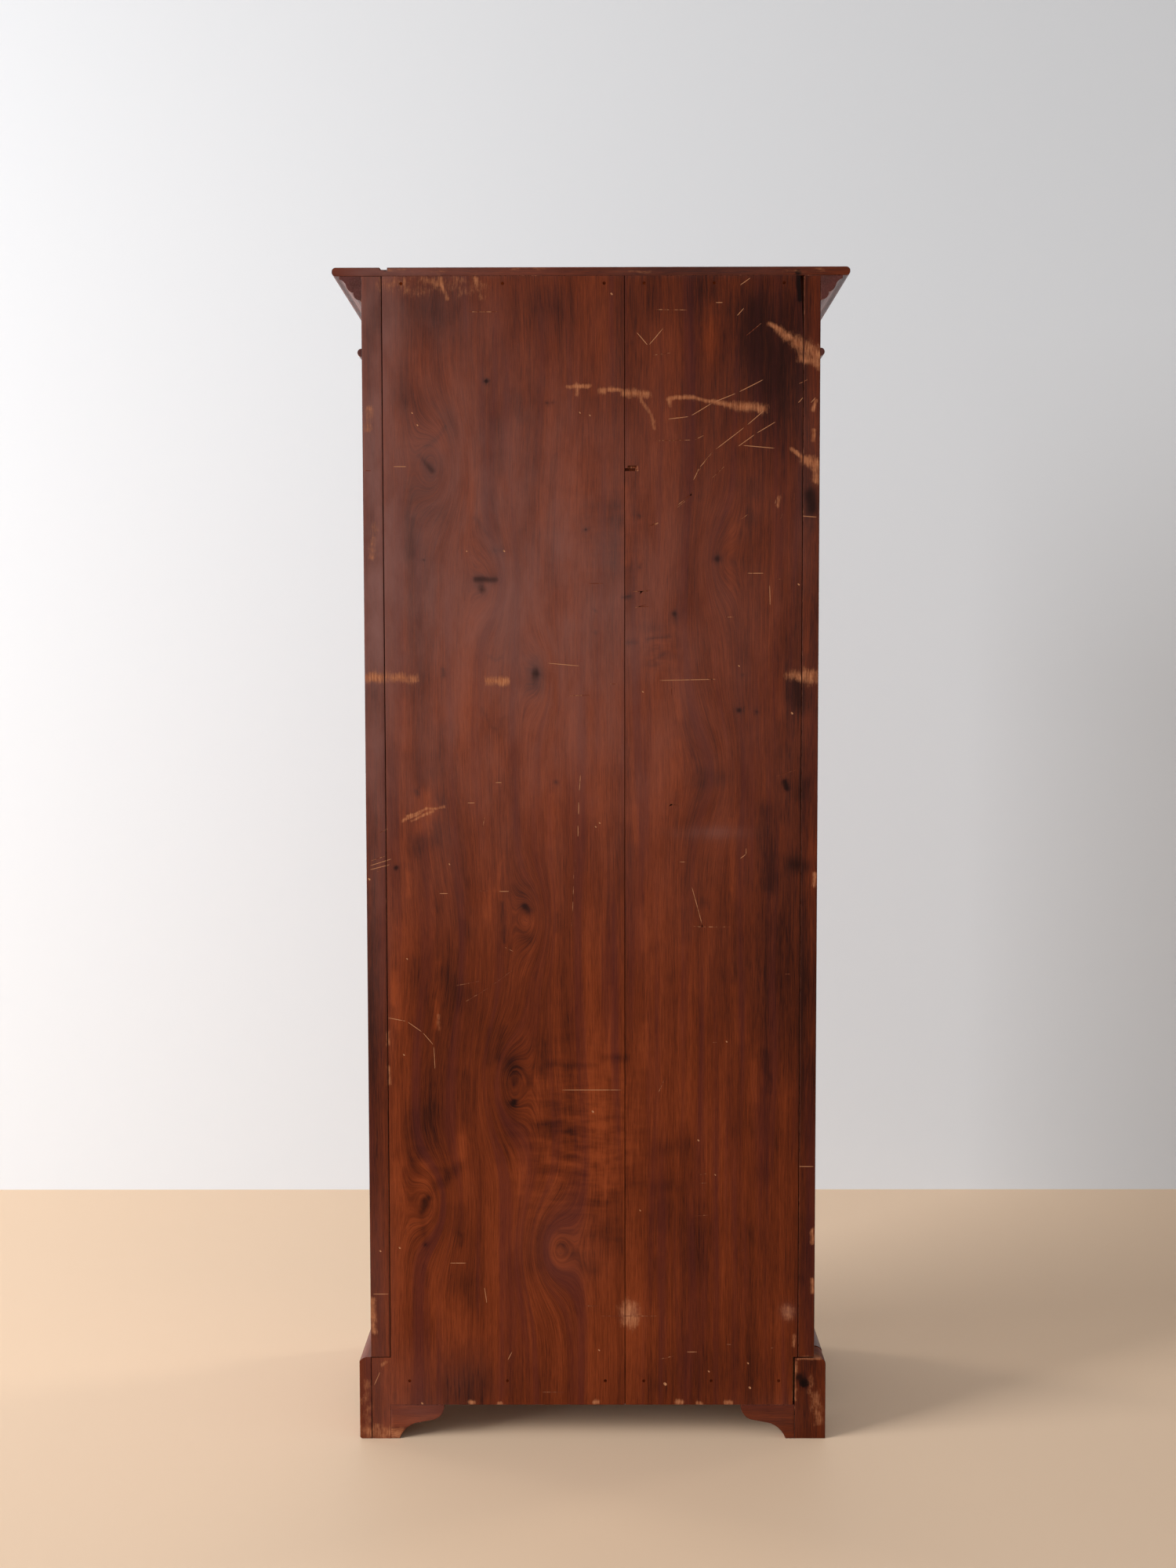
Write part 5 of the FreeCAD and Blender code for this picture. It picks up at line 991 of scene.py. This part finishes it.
def lay_marks(piece, shift):
    """Writes the grain and the marks of the back, painted shade and sheen among them, onto a piece's points.
    """
    mesh = piece.data
    points = np.empty(len(mesh.vertices) * 3)
    mesh.vertices.foreach_get("co", points)
    points = points.reshape(-1, 3) / MM
    rear = points[:, 1] > (REAR - REAR_SKIN) / MM
    across, along = points[:, 0] + points[:, 1] + glow(points, CURLS), points[:, 2]
    if np.ptp(points[:, 0]) > np.ptp(points[:, 2]):
        across, along = points[:, 1] + points[:, 2], points[:, 0]
    grain = np.stack([across + shift, glow(points, RIPPLES), along], 1)
    # Darkness from stains, knots and painted shade
    dark = glow(points, STAINS_AND_SHADE) + SMEAR_SHARE * summed(points, SMEARS)
    marks = np.stack([strongest(points, BARE_STROKES), dark, glow(points, BLOOM_AND_SHEEN)], 1)
    marks[~rear] = 0.0
    for name, values in (("grain", grain), ("marks", marks)):
        layer = mesh.attributes.new(name, "FLOAT_VECTOR", "POINT")
        layer.data.foreach_set("vector", values.astype(np.float32).ravel())


def lay_finishes(piece, kind):
    """Gives a piece marked wood behind, polished wood on its other outer sides, and raw wood inside."""
    shown = {"plinth": "mahogany_fore_and_aft", "top": "mahogany_across"}.get(kind, "mahogany_up")
    piece.data.materials.clear()
    for finish in ("mahogany_back", "mahogany_grimed_edge", shown, "mahogany_raw"):
        piece.data.materials.append(finish_of(finish))
    for face in piece.data.polygons:
        outward = face.normal.x * face.center.x
        face.material_index = BACK
        if kind in ("plinth", "top") and face.normal.y < 0.9 or kind == "side" and outward > 0.1:
            face.material_index = OUTSIDE
        elif kind == "back" and face.normal.y < -0.9 or kind == "side" and outward < -0.1:
            face.material_index = INSIDE


def clean_seam(piece):
    """Gives the eased edges of the middle seam, in its lower half, the finish of the boards."""
    reach, bottom, top = 100 * MM, 60 * MM, 950 * MM
    for face in piece.data.polygons:
        if abs(face.center.x) < reach and bottom < face.center.z < top and face.material_index == EDGE:
            face.material_index = BACK


# The pieces that the back shows, and how far the grain of each is shifted, so that no two look alike
BOARD_SHIFTS = {
    "back_board_left": 900.0, "back_board_right": 0.0, "side_left": 1700.0, "side_right": 2600.0,
    "rear_post_left": 3400.0, "rear_bracket_left": 4100.0, "rear_bracket_right": 4900.0,
    "top_board": 5700.0, "plinth_left": 7100.0, "plinth_right": 6400.0,
}


class CABINET_OT_back(bpy.types.Operator):
    """Makes the pieces that the back shows, with their scratches, chips, bare places and knots"""

    bl_idname = "cabinet.back"
    bl_label = "Back, sides and top"

    def execute(self, context):
        sizes = context.scene.cabinet_sizes
        cutter = scratch_cutter()
        for node, shift in BOARD_SHIFTS.items():
            piece = merged_copy(node)
            lay_finishes(piece, node.split("_")[0])
            ease_edges(piece, sizes.rear_ease)
            clean_seam(piece)
            lay_grid(piece, sizes.mark_cell)
            cut_scratches(piece, cutter)
            lay_marks(piece, shift)
            settle_normals(piece)
            dress(piece, node)
        bpy.data.objects.remove(cutter)
        return {"FINISHED"}


class CABINET_OT_cornice(bpy.types.Operator):
    """Makes the mitred cornice and the bead under it"""

    bl_idname = "cabinet.cornice"
    bl_label = "Cornice"

    def execute(self, context):
        eased_wood(("cornice_front", "bead_front"), "mahogany_across")
        ends = ("cornice_left", "cornice_right", "bead_left", "bead_right")
        eased_wood(ends, "mahogany_fore_and_aft")
        for node in ends:
            show_end_grain(node)
        return {"FINISHED"}


class CABINET_OT_front_frame(bpy.types.Operator):
    """Makes the frieze, the front stiles, the head and sill rails and the door stop"""

    bl_idname = "cabinet.front_frame"
    bl_label = "Front frame"

    def execute(self, context):
        eased_wood(("frieze_board", "head_rail", "sill_rail"), "mahogany_across")
        eased_wood(("door_stop",), "mahogany_up")
        stiles = ("front_stile_left", "front_stile_right")
        eased_wood(stiles, "mahogany_up", context.scene.cabinet_sizes.bolt_ease)
        return {"FINISHED"}


class CABINET_OT_base(bpy.types.Operator):
    """Makes the moulded plinth and the pine that carries the carcass"""

    bl_idname = "cabinet.base"
    bl_label = "Plinth and bearers"

    def execute(self, context):
        eased_wood(("plinth_front",), "mahogany_across")
        cross_boards = ("bearer_front", "bearer_rear", "bottom_board", "top_rail_front", "top_rail_rear")
        eased_wood(cross_boards, "pine_across")
        eased_wood(("bearer_left", "bearer_right"), "pine_fore_and_aft")
        eased_wood(("foot_blocks",), "pine_up")
        return {"FINISHED"}


class CABINET_OT_shelves(bpy.types.Operator):
    """Makes the shelves, the bars that carry them and the toothed strips"""

    bl_idname = "cabinet.shelves"
    bl_label = "Shelves and strips"

    def execute(self, context):
        eased_wood(("shelf_1", "shelf_2", "shelf_3"), "mahogany_across")
        eased_wood(("shelf_bearers",), "pine_fore_and_aft")
        strips = [f"shelf_strip_{end}_{side}" for end in ("front", "rear") for side in ("left", "right")]
        eased_wood(strips, "pine_up")
        return {"FINISHED"}


class CABINET_OT_door(bpy.types.Operator):
    """Makes the door's stiles, rails, glazing bars and glazing strips"""

    bl_idname = "cabinet.door"
    bl_label = "Door"

    def execute(self, context):
        upright = ("door_stile_hinge", "door_stile_lock", "glazing_bar_upright", "glazing_strips")
        eased_wood(upright, "mahogany_up")
        eased_wood(("door_rail_top", "door_rail_bottom", "glazing_bars_cross"), "mahogany_across")
        return {"FINISHED"}


class CABINET_OT_glass(bpy.types.Operator):
    """Gives the panes their drawn glass"""

    bl_idname = "cabinet.glass"
    bl_label = "Glass"

    def execute(self, context):
        refinish(("glass_panes",), "glass_drawn")
        return {"FINISHED"}


class CABINET_OT_metalwork(bpy.types.Operator):
    """Gives hinges, lock, key and nails their metals"""

    bl_idname = "cabinet.metalwork"
    bl_label = "Metalwork"

    def execute(self, context):
        hinges = ("frame_leaves", "door_leaves", "pins", "frame_screws", "door_screws")
        refinish(["hinge_" + part for part in hinges], "brass_dull")
        refinish(("lock_case", "lock_cap", "lock_screws", "lock_bolt", "escutcheon"), "brass_dull")
        refinish(("key",), "iron_dark")
        refinish(("back_nails",), "iron_stained")
        return {"FINISHED"}


# Where the wall stands, and the width of floor and wall, in metres
WALL_LINE = -1.083
STAGE_WIDTH = 14.0

# Strength of the soft light from all sides
SKY_STRENGTH = 0.55

# Lamps: name, place, aim, width, power in watts, tint, spread in degrees, and whether polish mirrors them
LAMPS = (
    ("window", (7.0, 2.7, 2.8), (1.2, -1.0, 0.95), 3.6, 302.0, "#f8faff", 100.0, True),
    ("room", (-1.9, -0.75, 1.2), (0.1, 0.1, 0.95), 0.5, 5.0, "#fff8f0", 50.0, True),
    ("room", (1.9, -0.75, 1.2), (-0.1, 0.1, 0.95), 0.5, 5.0, "#fff8f0", 50.0, True),
    ("front", (0.0, WALL_LINE + 0.02, 0.95), (0.0, 0.0, 0.9), 0.8, 4.2, "#fff8f0", 70.0, False),
)

# The camera behind the cabinet, solved from the straight edges of the back: place in metres, turns in
# degrees about the upright, the level and the viewing axis, and lens and sensor in millimetres
CAMERA_PLACE = (-0.0042, 2.6965, 1.1664)
CAMERA_TURNS = (("Z", 180.222), ("X", 86.731), ("Z", -0.095))
LENS = 37.667
SENSOR = 36.0


def area_lamp(name, place, aim, width, power, tint, spread, mirrored):
    """A soft square lamp at a place, turned to a point."""
    lamp = bpy.data.lights.new(name, "AREA")
    lamp.shape = "SQUARE"
    lamp.size = width
    lamp.energy = power
    lamp.spread = math.radians(spread)
    lamp.color = linear(tint)[:3]
    holder = bpy.data.objects.new(name, lamp)
    bpy.context.scene.collection.objects.link(holder)
    holder.location = place
    holder.visible_glossy = mirrored
    holder.rotation_euler = (Vector(aim) - Vector(place)).to_track_quat("-Z", "Y").to_euler()


def backdrop(name, place, turn, value, roughness):
    """A plain surface of the stage, painted or sealed: one pale colour with a slowly uneven sheen."""
    bpy.ops.object.select_all(action="DESELECT")
    bpy.ops.mesh.primitive_plane_add(size=STAGE_WIDTH, location=place, rotation=turn)
    piece = bpy.context.active_object
    piece.name = name
    bpy.ops.object.transform_apply(location=True, rotation=True, scale=True)
    material, tree, shader = blank(name, {"Base Color": value, "Specular IOR Level": 0.3})
    sheen = pattern(tree, grain_place(tree, "up"), 800 * MM, 800 * MM)
    settings = {"operation": "MULTIPLY_ADD", 1: 0.1, 2: roughness}
    rough = add(tree, "ShaderNodeMath", settings, {0: sheen})
    tree.links.new(socket_of(rough), shader.inputs["Roughness"])
    piece.data.materials.append(material)
    return tree, shader


def clear_from_behind(tree, shader):
    """Lets a view from behind a surface see through it."""
    behind = add(tree, "ShaderNodeNewGeometry").outputs["Backfacing"]
    clear = add(tree, "ShaderNodeBsdfTransparent")
    seen = add(tree, "ShaderNodeMixShader", links={"Fac": behind, 1: shader, 2: clear})
    output = next(node for node in tree.nodes if node.type == "OUTPUT_MATERIAL")
    tree.links.new(socket_of(seen), output.inputs["Surface"])


class CABINET_OT_stage(bpy.types.Operator):
    """Makes the floor, the wall, the lamps and the camera"""

    bl_idname = "cabinet.stage"
    bl_label = "Stage"

    def execute(self, context):
        scene, colours = context.scene, context.scene.cabinet_colours
        backdrop("floor", (0.0, 0.0, 0.0), (0.0, 0.0, 0.0), colours.floor, 0.5)
        wall_middle = (0.0, WALL_LINE, STAGE_WIDTH / 2)
        tree, shader = backdrop("wall", wall_middle, (-math.pi / 2, 0.0, 0.0), colours.wall, 0.9)
        clear_from_behind(tree, shader)
        scene.world = scene.world or bpy.data.worlds.new("world")
        scene.world.use_nodes = True
        sky = scene.world.node_tree.nodes["Background"]
        sky.inputs["Color"].default_value = colours.sky
        sky.inputs["Strength"].default_value = SKY_STRENGTH
        for lamp in LAMPS:
            area_lamp(*lamp)
        eye = bpy.data.cameras.new("camera")
        eye.lens = LENS
        eye.sensor_width = SENSOR
        eye.sensor_fit = "AUTO"
        camera = bpy.data.objects.new("camera", eye)
        scene.collection.objects.link(camera)
        upright, level, roll = (Matrix.Rotation(math.radians(turn), 4, axis) for axis, turn in CAMERA_TURNS)
        camera.matrix_world = Matrix.Translation(CAMERA_PLACE) @ (upright @ level @ roll)
        scene.camera = camera
        scene.view_settings.view_transform = "Standard"
        return {"FINISHED"}


OPERATORS = (CABINET_OT_stage, CABINET_OT_back, CABINET_OT_cornice, CABINET_OT_front_frame, CABINET_OT_base,
             CABINET_OT_shelves, CABINET_OT_door, CABINET_OT_glass, CABINET_OT_metalwork)


class CABINET_PT_panel(bpy.types.Panel):
    """Lists the steps of the cabinet's finish"""

    bl_label = "Glazed cabinet"
    bl_idname = "CABINET_PT_panel"
    bl_space_type = "VIEW_3D"
    bl_region_type = "UI"
    bl_category = "Cabinet"

    def draw(self, context):
        for group in (context.scene.cabinet_sizes, context.scene.cabinet_colours):
            column = self.layout.column(align=True)
            for name in group.__annotations__:
                column.prop(group, name)
        for operator in OPERATORS:
            self.layout.operator(operator.bl_idname)


CLASSES = (CabinetSizes, CabinetColours) + OPERATORS + (CABINET_PT_panel,)


def register():
    for cls in CLASSES:
        bpy.utils.register_class(cls)
    bpy.types.Scene.cabinet_sizes = PointerProperty(type=CabinetSizes)
    bpy.types.Scene.cabinet_colours = PointerProperty(type=CabinetColours)


def unregister():
    del bpy.types.Scene.cabinet_colours
    del bpy.types.Scene.cabinet_sizes
    for cls in reversed(CLASSES):
        bpy.utils.unregister_class(cls)


def main():
    """Registers the add-on and makes every piece in order."""
    register()
    bpy.ops.cabinet.stage()
    bpy.ops.cabinet.back()
    bpy.ops.cabinet.cornice()
    bpy.ops.cabinet.front_frame()
    bpy.ops.cabinet.base()
    bpy.ops.cabinet.shelves()
    bpy.ops.cabinet.door()
    bpy.ops.cabinet.glass()
    bpy.ops.cabinet.metalwork()


if __name__ == "__main__":
    main()
